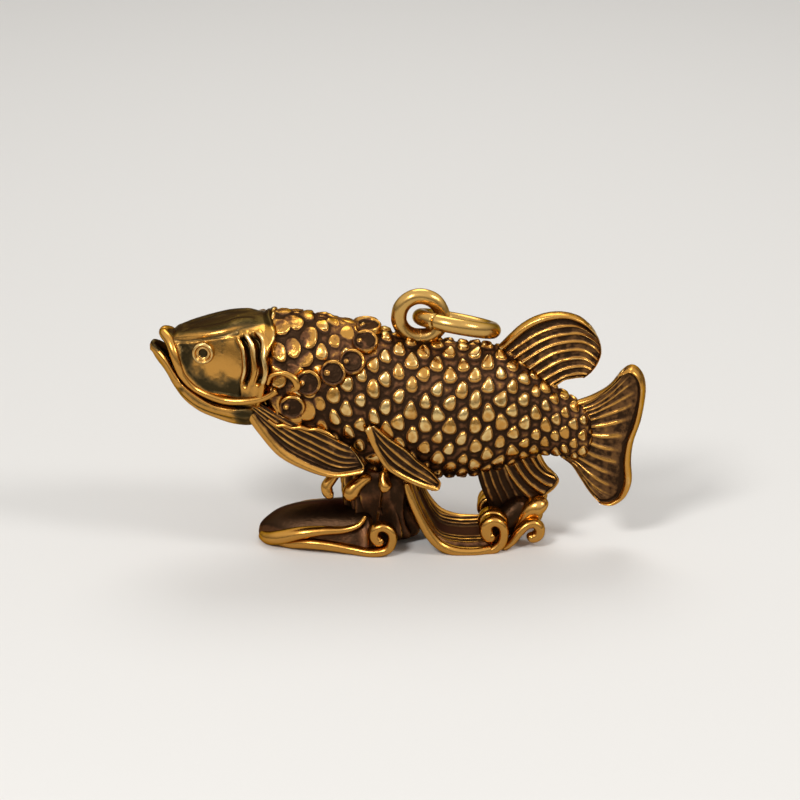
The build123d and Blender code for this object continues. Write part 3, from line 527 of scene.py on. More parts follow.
# Head: its sections, the panel of its cheek, and the lines (with half width and rise) cut into or raised on it
head = {"sections": [
    (-25.75, 24.85, 23.5, [(0.45, 24.8), (0.95, 24.5), (1, 24), (0.7, 23.6)]),
    (-25, 24.75, 21.8, [(0.95, 24.7), (1.8, 24.3), (2.05, 23.3), (1.7, 22.3)]),
    (-24, 25, 20, [(1.6, 24.8), (2.5, 24.3), (2.95, 22.6), (2.6, 20.8)]),
    (-22.5, 25.6, 18.2, [(2.35, 25.15), (3.15, 24.4), (3.6, 22.2), (3.2, 19.4)]),
    (-20.5, 26.2, 16.6, [(2.85, 25.6), (3.65, 24.6), (4.1, 21.8), (3.8, 18.4)]),
    (-18.5, 26.65, 15.6, [(2.9, 26.05), (4.05, 24.9), (4.6, 21.6), (4.2, 17.9)]),
    (-16.5, 26.85, 14.9, [(2.4, 26.35), (4.3, 25.15), (5.3, 21.4), (4.75, 17.6)]),
    (-15.3, 26.8, 14.9, [(2.1, 26.4), (4.5, 25.3), (5.65, 21.3), (4.95, 17.8)]),
    (-14.2, 26.7, 15.4, [(1.8, 26.3), (4.6, 25.3), (5.85, 21.3), (5, 18.2)]),
    ],
    "start": (-25.95, 24.25), "end": (-13.8, 20.8), "fine": (250, 250), "wearAndShade": (40, 1.6), "panelDeep": 0.26,
    "ridge": [(-24.9, 24.6), (-22.85, 25), (-20.5, 25.5), (-18.5, 25.9), (-16.5, 26.2), (-14.7, 26.4),
              (-13, 26.5)],
    "rear": [(15, -15.6), (18, -14.9), (20, -14.5), (22, -14.2), (23.5, -14.2), (24.6, -13.8), (25.4, -13.3),
             (26.2, -13.3), (27, -13.9)],
    "panelLow": [(-24.2, 22.4), (-23.4, 20.6), (-22.2, 19.4), (-20.8, 18.7), (-17.8, 18.4), (-15, 18.7)],
    "panelFront": [(18.5, -22.6), (20.5, -23.6), (22.5, -24.1), (25, -24.8)],
    "panelBack": [(20, -17.1), (22.3, -16.75), (24, -16.85), (25.6, -17.6)],
    "strokes": [
    ([(-24.9, 24.75), (-23.5, 24.95), (-21.5, 25.4), (-19.6, 25.85), (-17.6, 26.35), (-15.6, 26.65)], 0.34, 0.28),
    ([(-24.7, 24.3), (-22.85, 24.65), (-20.5, 25.1), (-18.5, 25.55), (-17.2, 25.9)], 0.24, -0.2),
    ([(-17.2, 25.6), (-16.6, 24.6), (-16.35, 23.2), (-16.35, 21.6), (-16.9, 19.9)], 0.27, -0.85),
    ([(-16.3, 25.9), (-15.6, 24.8), (-15.15, 23.3), (-14.95, 21.8), (-15.25, 20.3)], 0.27, -0.85),
    ([(-17.8, 25.4), (-17.15, 24.3), (-16.9, 23), (-16.9, 21.6), (-17.4, 20.2)], 0.24, 0.14),
    ([(-16.8, 25.9), (-16.1, 24.8), (-15.75, 23.3), (-15.65, 21.8), (-16.1, 20.2)], 0.3, 0.22),
    ([(-15.8, 26.1), (-15.1, 25), (-14.62, 23.4), (-14.42, 21.9), (-14.6, 20.4)], 0.24, 0.22),
    ],
}


def skinOver(name, form):
    # a skin through sections: place along, crown, keel, and the places down one side, which the other mirrors
    piece, turn, share = startBall(name, form["fine"])
    start, end = form["start"], form["end"]
    rings = [(x, [(0, crown)] + [(-y, z) for y, z in flank] + [(0, keel)] + flank[::-1])
             for x, crown, keel, flank in form["sections"]]
    rows = [[(start[0], 0, start[1])] + [(x, *ring[number]) for x, ring in rings] + [(end[0], 0, end[1])]
            for number in range(len(rings[0][1]))]
    points = smoothSheet(rows, share, (turn / (2 * pi)) % 1, closed=True)
    shapeTo(piece, points)
    return piece, points, readEach(piece, "normal")


def makeHead():
    piece, points, normal = skinOver("headAndCovers", head)
    x, z = points[:, 0], points[:, 2]
    flank = ease(0.25, 0.6, np.abs(normal[:, 1]))
    offCrown = np.maximum(ease(0.8, 1.7, np.abs(points[:, 1])), ease(-22.8, -23.8, x))
    offset = sum(roundStroke(points[:, [0, 2]], line, width, rise) * (flank if rise < 0 else offCrown)
                 for line, width, rise in head["strokes"])
    ridge = readTable(head["ridge"], x)
    panel = ease(0.1, 0.55, ridge - 0.3 - z) * ease(0.1, 0.6, z - readTable(head["panelLow"], x))
    panel *= ease(0.1, 0.6, x - readTable(head["panelFront"], z))
    panel *= ease(0, 0.5, readTable(head["panelBack"], z) - x)
    golden = ease(-24, -20.6, x) * ease(19, 21.8, z)
    rough = softNoise(points, 0.32, 1) - 0.5
    blotches = softNoise(points, 1.1, 2) - 0.5
    offset = offset - (head["panelDeep"] + 0.07 * rough * (1 - golden)) * panel * flank
    moved = points + normal * offset[:, None]
    cover = ease(-16.9, -14.4, x)
    moved[:, 0] += (readTable(head["rear"], z) + 14.2) * cover
    writePoints(piece, moved)
    away = np.abs(moved[:, 1])
    crown = ease(2.3, 1.7, away) * ease(-17.2, -15.6, x) * ease(24.8, 25.4, z)
    skull = np.maximum(ease(-0.05, 0.22, z - ridge), crown)
    skull = skull * (0.3 - 0.1 * ease(2.6, 0.2, away) - 0.3 * (softNoise(points, 1.7, 5) - 0.5))
    cheek = panel * (0.4 * golden - 0.26 + 0.3 * rough * (1 - 0.6 * golden) + 0.3 * blotches)
    more = cheek - skull - 0.12 * (1 - panel) * ease(20.5, 18.5, z) + 0.16 * cover * ease(0.05, -0.1, z - ridge)
    wearAndShade(piece, *head["wearAndShade"], more + 0.1 * blotches)
    return piece


headPiece = makeHead()
settle(headPiece, headBrass, ["head", "gill_cover_left", "gill_cover_right"])
headSkin = readPoints(headPiece)
print("head made")

# Lower jaw: a scoop with a rolled lip
jaw = {"sections": [
    (-27.3, 23.35, 22.45, [(0.5, 23.5), (0.7, 23.1), (0.5, 22.7)]),
    (-26.8, 22.7, 21.5, [(0.95, 23.3), (1.3, 22.85), (0.95, 22)]),
    (-25.8, 21.3, 20.15, [(1.75, 22.45), (2.1, 21.8), (1.5, 20.7)]),
    (-24.8, 20, 18.4, [(2.35, 20.9), (2.7, 20.2), (2, 19)]),
    (-23.6, 19, 16.95, [(2.95, 19.4), (3.25, 18.7), (2.5, 17.5)]),
    (-22, 18.2, 15.8, [(3.45, 18.3), (3.7, 17.5), (2.8, 16.3)]),
    (-20.2, 17.5, 15.1, [(3.85, 17.5), (4.05, 16.7), (3, 15.55)]),
    (-18, 17, 14.4, [(4.15, 17.2), (4.3, 16.2), (3.2, 14.9)]),
    (-15.8, 16.5, 14.3, [(3.9, 17.2), (4.1, 16.2), (3.1, 14.9)]),
    ],
    "start": (-27.55, 23.1), "end": (-14.6, 15.4), "fine": (120, 170), "wearAndShade": (30, 2), "strokes": [
    ([(-27.45, 23.2), (-26.7, 22.8), (-25.75, 21.8), (-24.9, 20.4), (-24, 18.9)], 0.42, 0.22),
    ([(-25.2, 20), (-24, 18.2), (-22.4, 17), (-20.4, 16.2), (-18, 15.6)], 0.26, -0.22),
    ([(-24, 18.9), (-22.4, 17.6), (-20.4, 16.8), (-18, 16.3), (-16.2, 16)], 0.26, 0.12),
    ],
}


def makeJaw():
    piece, points, normal = skinOver("lowerJaw", jaw)
    x, y, z = points.T
    offset = sum(roundStroke(points[:, [0, 2]], line, width, rise) for line, width, rise in jaw["strokes"])
    writePoints(piece, points + normal * offset[:, None])
    # inside the mouth, under the upper lip, is darkened as painted shade; the jaw is also darker towards its back
    # end and lighter along its bottom and at its tip
    mouth = ease(0.2, 0.7, normal[:, 2]) * (np.abs(y) < 1.6)
    more = 0.1 * ease(17.5, 15, z) - 0.35 * ease(-18.8, -16.8, x) - 0.5 * mouth + 0.12 * ease(-24, -26.5, x)
    wearAndShade(piece, *jaw["wearAndShade"], more)
    return piece


settle(makeJaw(), headBrass, ["lower_jaw"])


def besideHead(x, z):
    # how far out the head's near cheek is at a place in the side view
    near = headSkin[headSkin[:, 1] < -0.2]
    gap = (near[:, 0] - x) ** 2 + (near[:, 2] - z) ** 2
    return near[np.argmin(gap), 1]


# Lip and barbel: one roll from the tip of the upper lip, down behind the mouth and along the jaw to a hooked tip.
# Place along and up, half thickness, and its side where it isn't sunk in the cheek
barbel = {"line": [(-26, 24.65, 0.5, 0.1), (-25.8, 24.6, 0.54, -0.75), (-25.2, 24.1, 0.55, -1.7),
          (-24.75, 23.2, 0.53), (-24.35, 22, 0.5), (-23.75, 20.5, 0.47), (-22.6, 19.2, 0.44),
          (-20.9, 18.5, 0.42), (-19, 18.25, 0.4, -4.85), (-17, 18.3, 0.39, -5.25),
          (-15.2, 18.7, 0.37, -5.7), (-13.9, 19.35, 0.36, -6), (-13.2, 19.95, 0.42, -6.15)],
          "sunk": 0.12, "fine": (28, 150), "wearAndShade": (10, 1.2, 0.16)}


def makeBarbel():
    line = [(x, side[0] if side else besideHead(x, z) - barbel["sunk"], z, thick, thick)
            for x, z, thick, *side in barbel["line"]]
    piece = roll("lipAndBarbelLeft", {**barbel, "line": line})
    wearAndShade(piece, *barbel["wearAndShade"])
    return piece


settlePair(makeBarbel(), headBrass, ["barbel_left"])

# Eyes: a raised ring round a sunken pupil
eye = {"x": -21.4, "z": 23.42, "tilt": 12, "proud": 0.26, "pupil": 0.46, "size": 1.08, "fine": (48, 90),
       "wearAndShade": (8, 3), "shine": 0.38, "dark": -0.8,
       "ring": [(0, -0.12), (0.22, -0.12), (0.38, -0.08), (0.46, 0.06), (0.56, 0.12), (0.66, 0.1), (0.74, 0.18),
                (0.86, 0.32), (1, 0.32), (1.12, 0.14), (1.16, -0.3), (1, -1), (0, -1.1)]}


def turned(name, form, profile, centre, out, level, knob=None):
    # a round form from its half profile, with its points' places aside, above and away from its middle
    piece, turn, share = startBall(name, form["fine"])
    r, high = smoothLine(profile, share).T
    r = np.maximum(r, 0) * (share > 1e-5) * (share < 1 - 1e-5)
    aside, above = r * np.cos(turn), r * np.sin(turn)
    if knob:
        high = high + knob(aside, above) * (share < 0.5)
    shapeTo(piece, centre + level * aside[:, None] + np.cross(level, out) * above[:, None] + out * high[:, None])
    return piece, aside, above, r


def makeEye():
    out = unit(np.array((-sin(radians(eye["tilt"])) * 0.4, -1, 0.05)))
    centre = np.array((eye["x"], besideHead(eye["x"], eye["z"]) - eye["proud"], eye["z"]))
    level = unit(np.cross(out, (0, 0, 1)))
    piece, _, _, r = turned("eyeLeft", eye, np.array(eye["ring"]) * eye["size"], centre, out, level)
    wearAndShade(piece, *eye["wearAndShade"], np.where(r < eye["pupil"], eye["dark"], eye["shine"]))
    return piece


settlePair(makeEye(), headBrass, ["eye_left"])
print("face made")

# Fins: rows of places in pixels, and millimetres off the middle plane, from root to tip, the leading edge first.
# A rim is its radius and half thickness
dorsal = {"rows": [
    [(498, 346), (519, 326), (538, 316), (558, 313), (577, 317), (589, 326)],
    [(506, 352), (530, 334), (550, 326), (572, 324), (588, 331), (598, 340)],
    [(518, 360), (542, 344), (562, 338), (580, 338), (593, 344), (600.5, 352)],
    [(532, 370), (552, 356), (568, 352), (582, 353), (591, 358), (597, 363)],
    [(544, 380), (560, 370), (573, 367), (582, 367), (588, 369), (591, 371)],
    [(553, 388), (563, 380.5), (570, 378.5), (576, 377.5), (581, 377), (584, 376.5)],
    ],
    "web": 0.42, "rays": 9, "rise": 0.28, "sharp": 3.4, "rayFade": (0.9, 1), "dark": 0.1, "shine": 0.28,
    "rims": {"lead": (0.56, 0.84), "tip": (0.28, 0.55), "trail": (0.22, 0.42)}, "fine": (150, 170),
}
tail = {"rows": [
    [(572, 402), (588, 397, -0.2), (600, 391, -0.4), (609, 385, -0.6), (615, 378, -0.8), (620, 371.5, -1)],
    [(573, 407), (592, 402, -0.2), (606, 393, -0.5), (618, 382, -0.8), (626, 373, -1.1), (631, 367.5, -1.4)],
    [(573, 412), (594, 407, -0.2), (610, 398, -0.5), (624, 387, -0.9), (634, 380, -1.3), (640.5, 376.5, -1.6)],
    [(574, 418), (594, 414, -0.2), (610, 408, -0.5), (624, 402, -0.9), (636, 396, -1.3), (643.5, 392, -1.6)],
    [(574, 427), (592, 425, -0.2), (606, 423, -0.5), (620, 420, -0.9), (632, 418, -1.3), (640, 420, -1.6)],
    [(573, 437), (590, 438, -0.2), (602, 440, -0.5), (614, 441, -0.9), (625, 442, -1.3), (633, 442, -1.6)],
    [(571, 446), (586, 450, -0.2), (598, 455, -0.5), (610, 459, -0.9), (622, 461, -1.3), (631, 461, -1.6)],
    [(568, 452), (582, 461, -0.2), (594, 469, -0.5), (606, 476, -0.9), (620, 481, -1.3), (632.5, 482, -1.6)],
    [(566, 456), (578, 465, -0.2), (588, 477, -0.4), (600, 488, -0.7), (614, 495, -1), (627, 497, -1.3)],
    [(565, 457), (576, 466, -0.2), (586, 478, -0.4), (596, 490, -0.7), (607, 499, -1), (617, 504.5, -1.2)],
    [(564, 458), (573, 466, -0.2), (581, 478, -0.4), (589, 489, -0.6), (597, 498, -0.8), (606.5, 504, -1)],
    ],
    "web": 0.55, "rays": 15, "rise": 0.18, "sharp": 3.6, "rayFade": (0.4, 0.86), "dark": 0.09,
    "rims": {"lead": (0.36, 0.62), "trail": (0.32, 0.6), "tip": (0.56, 0.86)}, "fine": (140, 250),
}
anal = {"rows": [
    [(541, 452), (545, 461), (549, 467), (553, 471), (556, 474.5)],
    [(531, 455), (538, 466), (545, 473), (553, 477), (560.5, 480.5)],
    [(521, 457), (529, 470), (536, 478), (545, 485), (555.5, 489)],
    [(510, 458), (519, 473), (526, 483), (535, 491), (544, 498)],
    [(500, 458), (508, 475), (515, 486), (523, 496), (533, 505)],
    ],
    "web": 0.55, "rays": 4.5, "rise": 0.32, "sharp": 2.2, "rayFade": (0.97, 1.1), "dark": 0.22,
    "rims": {"lead": (0.34, 0.56), "tip": (0.26, 0.46)}, "fine": (100, 140),
}
pectoral = {"rows": [
    [(247, 408, -3), (262, 431, -3.8), (280, 454, -4.6), (306, 468, -5.3), (334, 476, -5.9),
     (360, 471, -6.15)],
    [(252, 406, -3.7), (268, 425, -4.4), (290, 444, -5), (315, 458, -5.6), (340, 467, -6),
     (365, 465, -6.3)],
    [(256, 404, -4.2), (276, 420, -4.9), (298, 434, -5.4), (320, 446, -5.8), (342, 455, -6.2),
     (361, 457, -6.4)],
    [(262, 402, -4.6), (284, 415, -5.2), (304, 424, -5.6), (324, 432, -5.9), (340, 440, -6.2),
     (352, 446, -6.35)],
    ],
    "web": 0.34, "rays": 7, "rise": 0.24, "sharp": 3.4, "rayFade": (0.8, 1), "bend": 0.3, "dark": 0.17,
    "rims": {"lead": (0.6, 0.84), "tip": (0.24, 0.45)}, "fine": (160, 130),
}
pelvic = {"rows": [
    [(366, 427, -6.2), (374, 448, -6.1), (386, 466, -5.9), (402, 477, -5.7), (419, 485, -5.5),
     (433, 488.5, -5.4)],
    [(370, 426, -6.45), (382, 444, -6.3), (396, 459, -6.1), (412, 470, -5.85), (428, 479, -5.6),
     (439.5, 486.5, -5.4)],
    [(375, 425, -6.4), (391, 438, -6.35), (407, 449, -6.1), (417, 459, -5.9), (431, 470, -5.65),
     (440, 480.5, -5.4)],
    ],
    "web": 0.34, "rays": 4.5, "rise": 0.22, "sharp": 3.2, "rayFade": (0.86, 1), "dark": 0.15,
    "rims": {"lead": (0.42, 0.62), "trail": (0.2, 0.42), "tip": (0.34, 0.56)}, "fine": (130, 80),
}
settle(fin("dorsalFin", dorsal), finBrass, ["dorsal_fin"])
settle(fin("tailFin", tail), finBrass, ["tail_fin"])
settle(fin("analFin", anal), finBrass, ["anal_fin"])
settlePair(fin("pectoralFinLeft", pectoral), finBrass, ["pectoral_fin_left"])
settlePair(fin("pelvicFinLeft", pelvic), finBrass, ["pelvic_fin_left"])
print("fins made")


def coinKnob(aside, above):
    return coins["knob"] * np.exp(-((aside + 0.62) ** 2 + above ** 2) / 0.09)


def makeCoin(name, x, angle):
    spot, out = trunkSpot(x, angle)
    piece, aside, above, r = turned(name, coins, coins["profile"], spot + out * coins["proud"], out,
                                    np.array((1, 0, 0)), coinKnob)
    knob = coinKnob(aside, above) / coins["knob"]
    # painted highlight: the rim is painted lighter on one side and darker on the opposite side
    more = 0.2 * ease(-0.5, 0.9, (0.75 * aside - 0.65 * above) / 1.3) * (r > coins["face"])
    more = more - 0.1 * (r < coins["face"]) * (1 - knob) + 0.25 * knob - 0.06
    wearAndShade(piece, *coins["wearAndShade"], more + 0.36 * (softNoise(readPoints(piece), 0.5, 7) - 0.5))
    return piece


coinPieces = [makeCoin("coinLeft%d" % number, *place) for number, place in enumerate(coins["places"], 1)]
coinPieces += [mirrorCopy(piece) for piece in coinPieces]
coinPieces.append(makeCoin("coinRidge", *coins["ridge"]))
for piece in coinPieces:
    settle(piece, castBrass, ["coin_string"])
print("coins made")

# Front wave: a smooth tongue of water, dark on top, with polished flutes down its sides
tongue = {"sections": [
    (-15.45, 1.75, 0.02, [(0.5, 1.45), (0.7, 0.8), (0.5, 0.12)]),
    (-14.6, 2.6, 0, [(1.1, 2.2), (1.6, 1.2), (1.3, 0.1)]),
    (-13.2, 3.5, 0, [(1.7, 2.9), (2.7, 1.5), (2.4, 0.1)]),
    (-11.2, 4.1, 0, [(2.2, 3.3), (3.5, 1.6), (3.2, 0.1)]),
    (-9, 4.35, 0, [(2.5, 3.5), (3.8, 1.6), (3.6, 0.1)]),
    (-7, 4.5, 0, [(2.8, 3.6), (4.1, 1.5), (4, 0.1)]),
    (-5, 4.6, 0, [(3, 3.7), (4.5, 1.4), (4.4, 0.1)]),
    (-3, 4.6, 0, [(3.2, 3.7), (4.8, 1.4), (4.8, 0.1)]),
    ],
    "start": (-15.72, 0.75), "end": (-1.9, 2), "fine": (160, 160), "wearAndShade": (30, 1.6), "dark": 0.35,
}
piece, points, normal = skinOver("frontWaveBody", tongue)
wearAndShade(piece, *tongue["wearAndShade"], -tongue["dark"] * ease(0.3, 0.8, normal[:, 2]) - 0.05)
settle(piece, waveBrass, ["front_wave"])

# Rolls of water on the left, their places in pixels and millimetres off the middle plane
waterWear = (14, 2.2, 0.12)
waterRolls = {
    "frontFlute": {"line": [(261, 536, -0.6, 0.6, 0.55), (268, 539, -1.9, 0.8, 0.72),
        (280, 538, -3, 0.95, 0.8), (300, 533.5, -3.9, 0.9, 0.7), (322, 531, -4.2, 0.7, 0.54),
        (344, 530, -4.3, 0.5, 0.42), (359, 525, -4.3, 0.4, 0.32), (366, 516, -4.1, 0.25, 0.2)]},
    "frontScrollLeft": {"line": [(276, 543, -2.4, 0.4, 0.3), (290, 544.5, -3.4, 0.5, 0.45),
        (308, 544, -4.2, 0.6, 0.56), (330, 546, -4.6, 0.65, 0.56), (352, 549.5, -5, 0.7, 0.52),
        (372, 552, -5.4, 0.85, 0.52), (387, 549, -5.4, 0.9, 0.54), (392.3, 540, -5.4, 0.9, 0.56),
        (391.2, 531, -5.4, 0.9, 0.56), (383.5, 526, -5.4, 0.9, 0.56), (376, 528.5, -5.4, 0.9, 0.58),
        (374.3, 535.5, -5.4, 0.9, 0.62), (379, 540.5, -5.4, 0.85, 0.66), (383, 538, -5.4, 0.5, 0.35)],
        "boxy": 2.4, "nodes": ["front_scroll_left"]},
    "rearRimLeft": {"line": [(407, 482, -4.4, 0.5, 0.45), (411, 497, -4.8, 0.55, 0.5),
        (418, 514, -4.95, 0.6, 0.54), (428, 532, -5, 0.62, 0.56), (440, 545, -5, 0.65, 0.58),
        (457, 551.5, -5, 0.65, 0.58), (477, 552, -4.9, 0.6, 0.54), (492, 549, -4.7, 0.5, 0.45)]},
    "rearScrollLeft": {"line": [(472, 553, -4.3, 0.7, 0.42), (489, 551, -4.3, 0.85, 0.52),
        (501, 543.5, -4.3, 0.9, 0.56), (504, 532, -4.3, 0.95, 0.56), (501, 523.5, -4.3, 0.95, 0.6),
        (494, 520.5, -4.3, 0.95, 0.68), (487.5, 524, -4.3, 0.95, 0.76), (486.5, 531, -4.3, 0.95, 0.82),
        (490.5, 536, -4.3, 0.9, 0.76), (495, 533.5, -4.3, 0.5, 0.4)], "boxy": 2.4,
        "nodes": ["rear_scroll_left"]},
    "rearScrollBackLeft": {"line": [(476, 541, -2.2, 0.8, 0.35), (492, 541, -2.2, 0.95, 0.42),
        (503, 532, -2.2, 1, 0.45), (505, 521, -2.2, 1, 0.45), (499, 513.5, -2.2, 1, 0.45),
        (490, 512, -2.2, 1, 0.45), (483, 517, -2.2, 1, 0.45), (483, 526, -2.2, 0.9, 0.42),
        (490, 530, -2.2, 0.6, 0.25)], "boxy": 2.4},
    "crestCurlLeft": {"line": [(502, 550, -3.5, 0.7, 0.4), (512, 542, -3.3, 0.8, 0.48),
        (520, 532, -3.1, 0.85, 0.54), (527.5, 525, -2.9, 0.9, 0.56), (535, 523.3, -2.8, 0.9, 0.58),
        (540, 528, -2.8, 0.9, 0.62), (539, 535, -2.8, 0.9, 0.66), (533, 537.5, -2.8, 0.8, 0.64),
        (530, 534, -2.8, 0.5, 0.35)], "boxy": 2.2},
    "crestBallLeft": {"line": [(512, 536, -1.3, 0.9, 0.5), (521, 523, -1.3, 1.1, 0.75),
        (530, 512, -1.3, 1.3, 1.1), (539, 508.5, -1.3, 1.45, 1.4), (545, 512, -1.3, 1.2, 1.2)], "boxy": 2.1,
        "nodes": ["rear_crest"]},
    "sprayHookLeft": {"line": [(371, 476, -3.6, 0.6, 0.5), (363, 480, -4, 0.75, 0.66),
        (356, 485.5, -4.3, 0.9, 0.84), (351.5, 492.5, -4.4, 1.05, 1.02), (352.5, 499.5, -4.4, 1, 0.98)],
        "nodes": ["spray_drops"]},
    "sprayPearLeft": {"line": [(385, 470, -3.5, 0.5, 0.45), (383.5, 478, -4, 0.6, 0.56),
        (385, 485, -4.3, 0.8, 0.76), (388.5, 490.5, -4.4, 0.92, 0.9)]},
    "sprayTwinLeft": {"line": [(340, 456, -3, 0.7, 0.6), (339, 467, -3.3, 0.7, 0.6),
        (333, 477, -3.8, 0.7, 0.6), (327, 486, -4.1, 0.75, 0.65), (329, 493.5, -4.2, 0.75, 0.6),
        (334, 494, -4.2, 0.45, 0.35)]},
    "barbelCurlLeft": {"line": [(270, 385, -5.95, 0.25, 0.2), (273, 377, -6.1, 0.3, 0.26),
        (281, 373.5, -6.2, 0.32, 0.28), (290, 375, -6.3, 0.4, 0.34), (297, 380, -6.35, 0.5, 0.44),
        (299, 387, -6.35, 0.5, 0.44), (293, 390, -6.3, 0.3, 0.25)]},
    "pectoralFrillLeft": {"line": [(270, 419, -5.2, 0.3, 0.15), (278, 424.5, -5.45, 0.4, 0.24),
        (286, 424.5, -5.6, 0.4, 0.26), (294, 427, -5.75, 0.4, 0.24), (302, 426.5, -5.9, 0.4, 0.26),
        (310, 428.5, -6, 0.4, 0.24), (319, 428.5, -6.1, 0.4, 0.26), (328, 432, -6.2, 0.35, 0.22),
        (336, 437, -6.25, 0.25, 0.15)]},
}
for name, form in waterRolls.items():
    piece = roll(name, {**form, "line": [(*seen(*station[:3]), *station[3:]) for station in form["line"]]})
    wearAndShade(piece, *waterWear)
    settlePair(piece, waveBrass, form.get("nodes", []))

# The column of water under the belly, darkened all over as painted shade. A flute is how many go round, how they
# twist and how high they stand
column = {"line": [(-1.6, 0, 0.05, 3.7, 4.9), (-1.7, 0, 2.5, 3.1, 4.1), (-1.9, 0, 5.5, 3, 3.9),
          (-1.8, 0, 9.6, 3.7, 5.2)],
          "boxy": 2.6, "fine": (160, 90),
          "flutes": [(9, 5, 0.3), (23, -7, 0.18)], "wearAndShade": (12, 2.8), "dark": 0.14, "blotches": (0.9, 0.2)}


def columnFlutes(share, sideways, upwards):
    turn = np.arctan2(sideways, upwards * 3)
    return sum(rise * np.cos(count * turn + twist * share) for count, twist, rise in column["flutes"])


# The rear wave's sheet. A flute is its place off the middle, half width and height
rearSheet = {"line": [(1.2, 0, 8.6, 3.9, 0.5), (1.5, 0, 7.2, 4.4, 0.45), (2.3, 0, 4.9, 4.7, 0.42),
             (3.5, 0, 2.4, 4.9, 0.42), (4.8, 0, 1, 4.9, 0.42), (6.8, 0, 0.5, 4.9, 0.42),
             (9, 0, 0.5, 4.8, 0.42), (11, 0, 0.8, 4.6, 0.4)],
             "flutes": [(3.6, 0.4, 0.42), (2.65, 0.34, 0.36), (1.7, 0.3, 0.28)], "sunk": 0.16, "boxy": 3,
             "fine": (220, 140), "wearAndShade": (14, 3.2), "dark": 0.05, "paintedShadeInside": 0.3, "blotches": (0.7, 0.16)}


def sheetFlutes(share, sideways, upwards):
    ridge = sum(rise * bell((np.abs(sideways) - place - 0.3 * share) / width)
                for place, width, rise in rearSheet["flutes"])
    return (ridge - rearSheet["sunk"]) * np.sign(upwards) * ease(0, 0.4, np.abs(upwards))


def blotchy(piece, form, seed):
    # a roll's set darkness, with blotches of a size and a strength; on the column the darkness is painted shade
    # under the belly
    size, strength = form["blotches"]
    return strength * (softNoise(readPoints(piece), size, seed) - 0.5) - form["dark"]


piece = roll("waveColumn", column, columnFlutes)
wearAndShade(piece, *column["wearAndShade"], blotchy(piece, column, 8))
settle(piece, waveBrass, ["wave_column"])
piece = roll("rearWaveSheet", rearSheet, sheetFlutes)
# painted shade darkens the middle of the sheet, under the fish, between its fluted sides
shadedMiddle = ease(3.2, 0.8, np.abs(readPoints(piece)[:, 1]))
wearAndShade(piece, *rearSheet["wearAndShade"], blotchy(piece, rearSheet, 9) - rearSheet["paintedShadeInside"] * shadedMiddle)
settle(piece, waveBrass, ["rear_wave"])

crestCore = {"line": [(10, 0, 0.9, 2.4, 0.9), (12, 0, 2, 2.5, 1.6), (13.6, 0, 3.6, 2.2, 1.6),
             (14.6, 0, 4.9, 1.4, 0.9)],
             "boxy": 2.4, "fine": (60, 60), "wearAndShade": (12, 2, -0.2)}
piece = roll("crestCore", crestCore)
wearAndShade(piece, *crestCore["wearAndShade"])
settle(piece, waveBrass, [])

crestWeb = {"rows": [
    [(477, 470), (480, 482), (484, 493), (489, 503), (494, 513)],
    [(487, 468), (492, 482), (498, 494), (503, 505), (508, 516)],
    [(498, 464), (504, 480), (511, 492), (517, 503), (522, 514)],
    [(509, 461), (516, 476), (524, 488), (531, 498), (537, 508)],
    ],
    "web": 0.5, "rays": 5, "rise": 0.12, "sharp": 2.4, "rayFade": (0.5, 0.9), "bend": 0.4, "dark": 0.3,
    "gain": 1.2, "shine": 0.04, "rims": {}, "fine": (90, 110),
}
settle(fin("crestWeb", crestWeb), finBrass, [])
print("waves made")

# Wire: the hanging loop soldered on the back and the split jump ring lying back through it
wire = {"loopMiddle": (2.607, 0, 26.4), "loopMean": 2.4, "loopWire": 0.87, "loopFine": (40, 200),
        "loopFrom": -90.2, "loopTurn": 360.4, "solder": (0.14, 0.22), "ringMean": 4.1, "ringWire": 0.9,
        "ringFine": (40, 240), "ringSlope": 11, "ringTilt": 14, "splitPlace": -128, "split": 1.6,
        "wearAndShade": (6, 0.6), "glow": 0.05}


def makeLoop():
    piece, turn, share = startBall("hangingLoop", wire["loopFine"])
    angle = np.radians(np.clip((share - 0.005) / 0.99, 0, 1) * wire["loopTurn"] + wire["loopFrom"])
    outward = np.stack([np.cos(angle), 0 * angle, np.sin(angle)], 1)
    more, reach = wire["solder"]
    thick = wire["loopWire"] * (1 + more * bell(np.sin((angle + pi / 2) / 2) / reach))
    points = (np.array(wire["loopMiddle"]) + outward * (wire["loopMean"] + thick * np.cos(turn))[:, None]
              + np.array((0, 1, 0)) * (thick * np.sin(turn))[:, None])
    shapeTo(piece, points + 0.02 * np.sin(points[:, [2, 0, 1]] * 3.1))      # not quite even, as bent by hand
    # the loop is painted lighter along its top as a painted highlight and darker at its foot on the back as
    # painted shade
    wearAndShade(piece, *wire["wearAndShade"], wire["glow"] * np.sin(angle))
    return piece


def makeRing():
    piece, turn, share = startBall("jumpRing", wire["ringFine"])
    slope, tilt = radians(wire["ringSlope"]), radians(wire["ringTilt"])
    forward = np.array((cos(slope), 0, -sin(slope)))
    across = np.array((0, 1, 0)) * cos(tilt) - np.array((sin(slope), 0, cos(slope))) * sin(tilt)
    middle = np.array(wire["loopMiddle"]) + forward * wire["ringMean"]
    angle = np.radians(wire["splitPlace"] + share * (360 - wire["split"]))
    outward = forward * np.cos(angle)[:, None] + across * np.sin(angle)[:, None]
    fromEnd = np.minimum(share, 1 - share)
    thick = wire["ringWire"] * roundEnd(fromEnd / 0.004)
    shapeTo(piece, middle + outward * (wire["ringMean"] + thick * np.cos(turn))[:, None]
            + np.cross(forward, across) * (thick * np.sin(turn))[:, None])
    wearAndShade(piece, *wire["wearAndShade"], wire["glow"] * np.cos(turn) - 0.6 * (fromEnd < 0.003))
    return piece


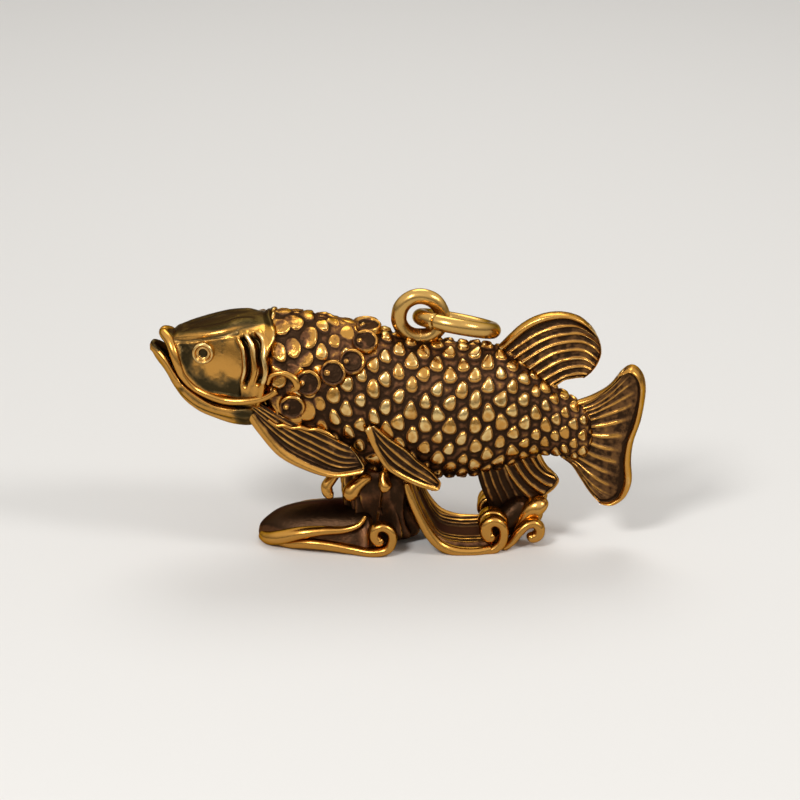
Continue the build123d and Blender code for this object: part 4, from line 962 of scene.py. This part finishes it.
settle(makeLoop(), wireBrass, ["hanging_loop"], "fish")
settle(makeRing(), wireBrass, ["jump_ring"], "jump_ring")
print("wire made")

# Stage: pale floor, plain world, and soft lamps (place and size in metres, power in watts). Metal mirrors a room
# that is paler overhead than round the walls
stage = {"size": 6, "floor": (0.8, 0.78, 0.75, 1), "dull": 0.85, "world": (0.86, 0.85, 0.83, 1), "fill": 0.42,
         "low": 0.3, "high": 1.2, "wall": 0.05, "overhead": 0.6, "aim": (0, 0, 0.014),
         "lamps": [((-0.16, -0.26, 0.3), 0.11, 0.85), ((0.24, -0.12, 0.26), 0.1, 0.35),
                   ((0, 0.22, 0.3), 0.2, 0.35)]}


def makeStage():
    deselect()
    bpy.ops.mesh.primitive_plane_add(size=stage["size"])
    floor = bpy.context.object
    floor.name = "floor"
    material = bpy.data.materials.new("paleFloor")
    material.use_nodes = True
    give(material.node_tree, material.node_tree.nodes["Principled BSDF"],
         {"Base Color": stage["floor"], "Roughness": stage["dull"]})
    floor.data.materials.append(material)
    world = bpy.data.worlds.new("studio")
    bpy.context.scene.world = world
    world.use_nodes = True
    tree = world.node_tree
    rays = addNode(tree, "LightPath").outputs
    shown = addNode(tree, "Math", {0: rays["Is Camera Ray"], 1: rays["Is Glossy Ray"]}, operation="MAXIMUM")
    split = addNode(tree, "SeparateXYZ", {0: addNode(tree, "TexCoord").outputs["Generated"]})
    room = addNode(tree, "MapRange", {
        "Value": split.outputs["Z"], "From Min": stage["wall"], "From Max": stage["overhead"],
        "To Min": stage["low"], "To Max": stage["high"]}, interpolation_type="SMOOTHSTEP")
    strength = addNode(tree, "MapRange", {
        "Value": shown.outputs[0], "To Min": stage["fill"], "To Max": room.outputs[0]})
    give(tree, tree.nodes["Background"], {"Color": stage["world"], "Strength": strength.outputs[0]})
    for number, (place, size, power) in enumerate(stage["lamps"]):
        lamp = bpy.data.lights.new("softLamp%d" % (number + 1), "AREA")
        lamp.shape = "DISK"
        lamp.size = size
        lamp.energy = power
        holder = bpy.data.objects.new(lamp.name, lamp)
        bpy.context.collection.objects.link(holder)
        holder.location = place
        holder.rotation_euler = (Vector(stage["aim"]) - Vector(place)).to_track_quat("-Z", "Y").to_euler()


def makeCamera():
    lens = bpy.data.cameras.new("camera")
    lens.sensor_width = view["sensor"]
    lens.lens = view["sensor"] * view["distance"] / view["width"]
    lens.clip_start = 0.01
    camera = bpy.data.objects.new("camera", lens)
    bpy.context.collection.objects.link(camera)
    slope = radians(view["slope"])
    camera.location = (Vector(view["aim"]) + Vector((0, -cos(slope), sin(slope))) * view["distance"]) * mm
    camera.rotation_euler = (radians(90) - slope, 0, 0)
    bpy.context.scene.camera = camera


makeStage()
makeCamera()
bpy.context.scene.view_settings.view_transform = "Standard"
print("stage set")
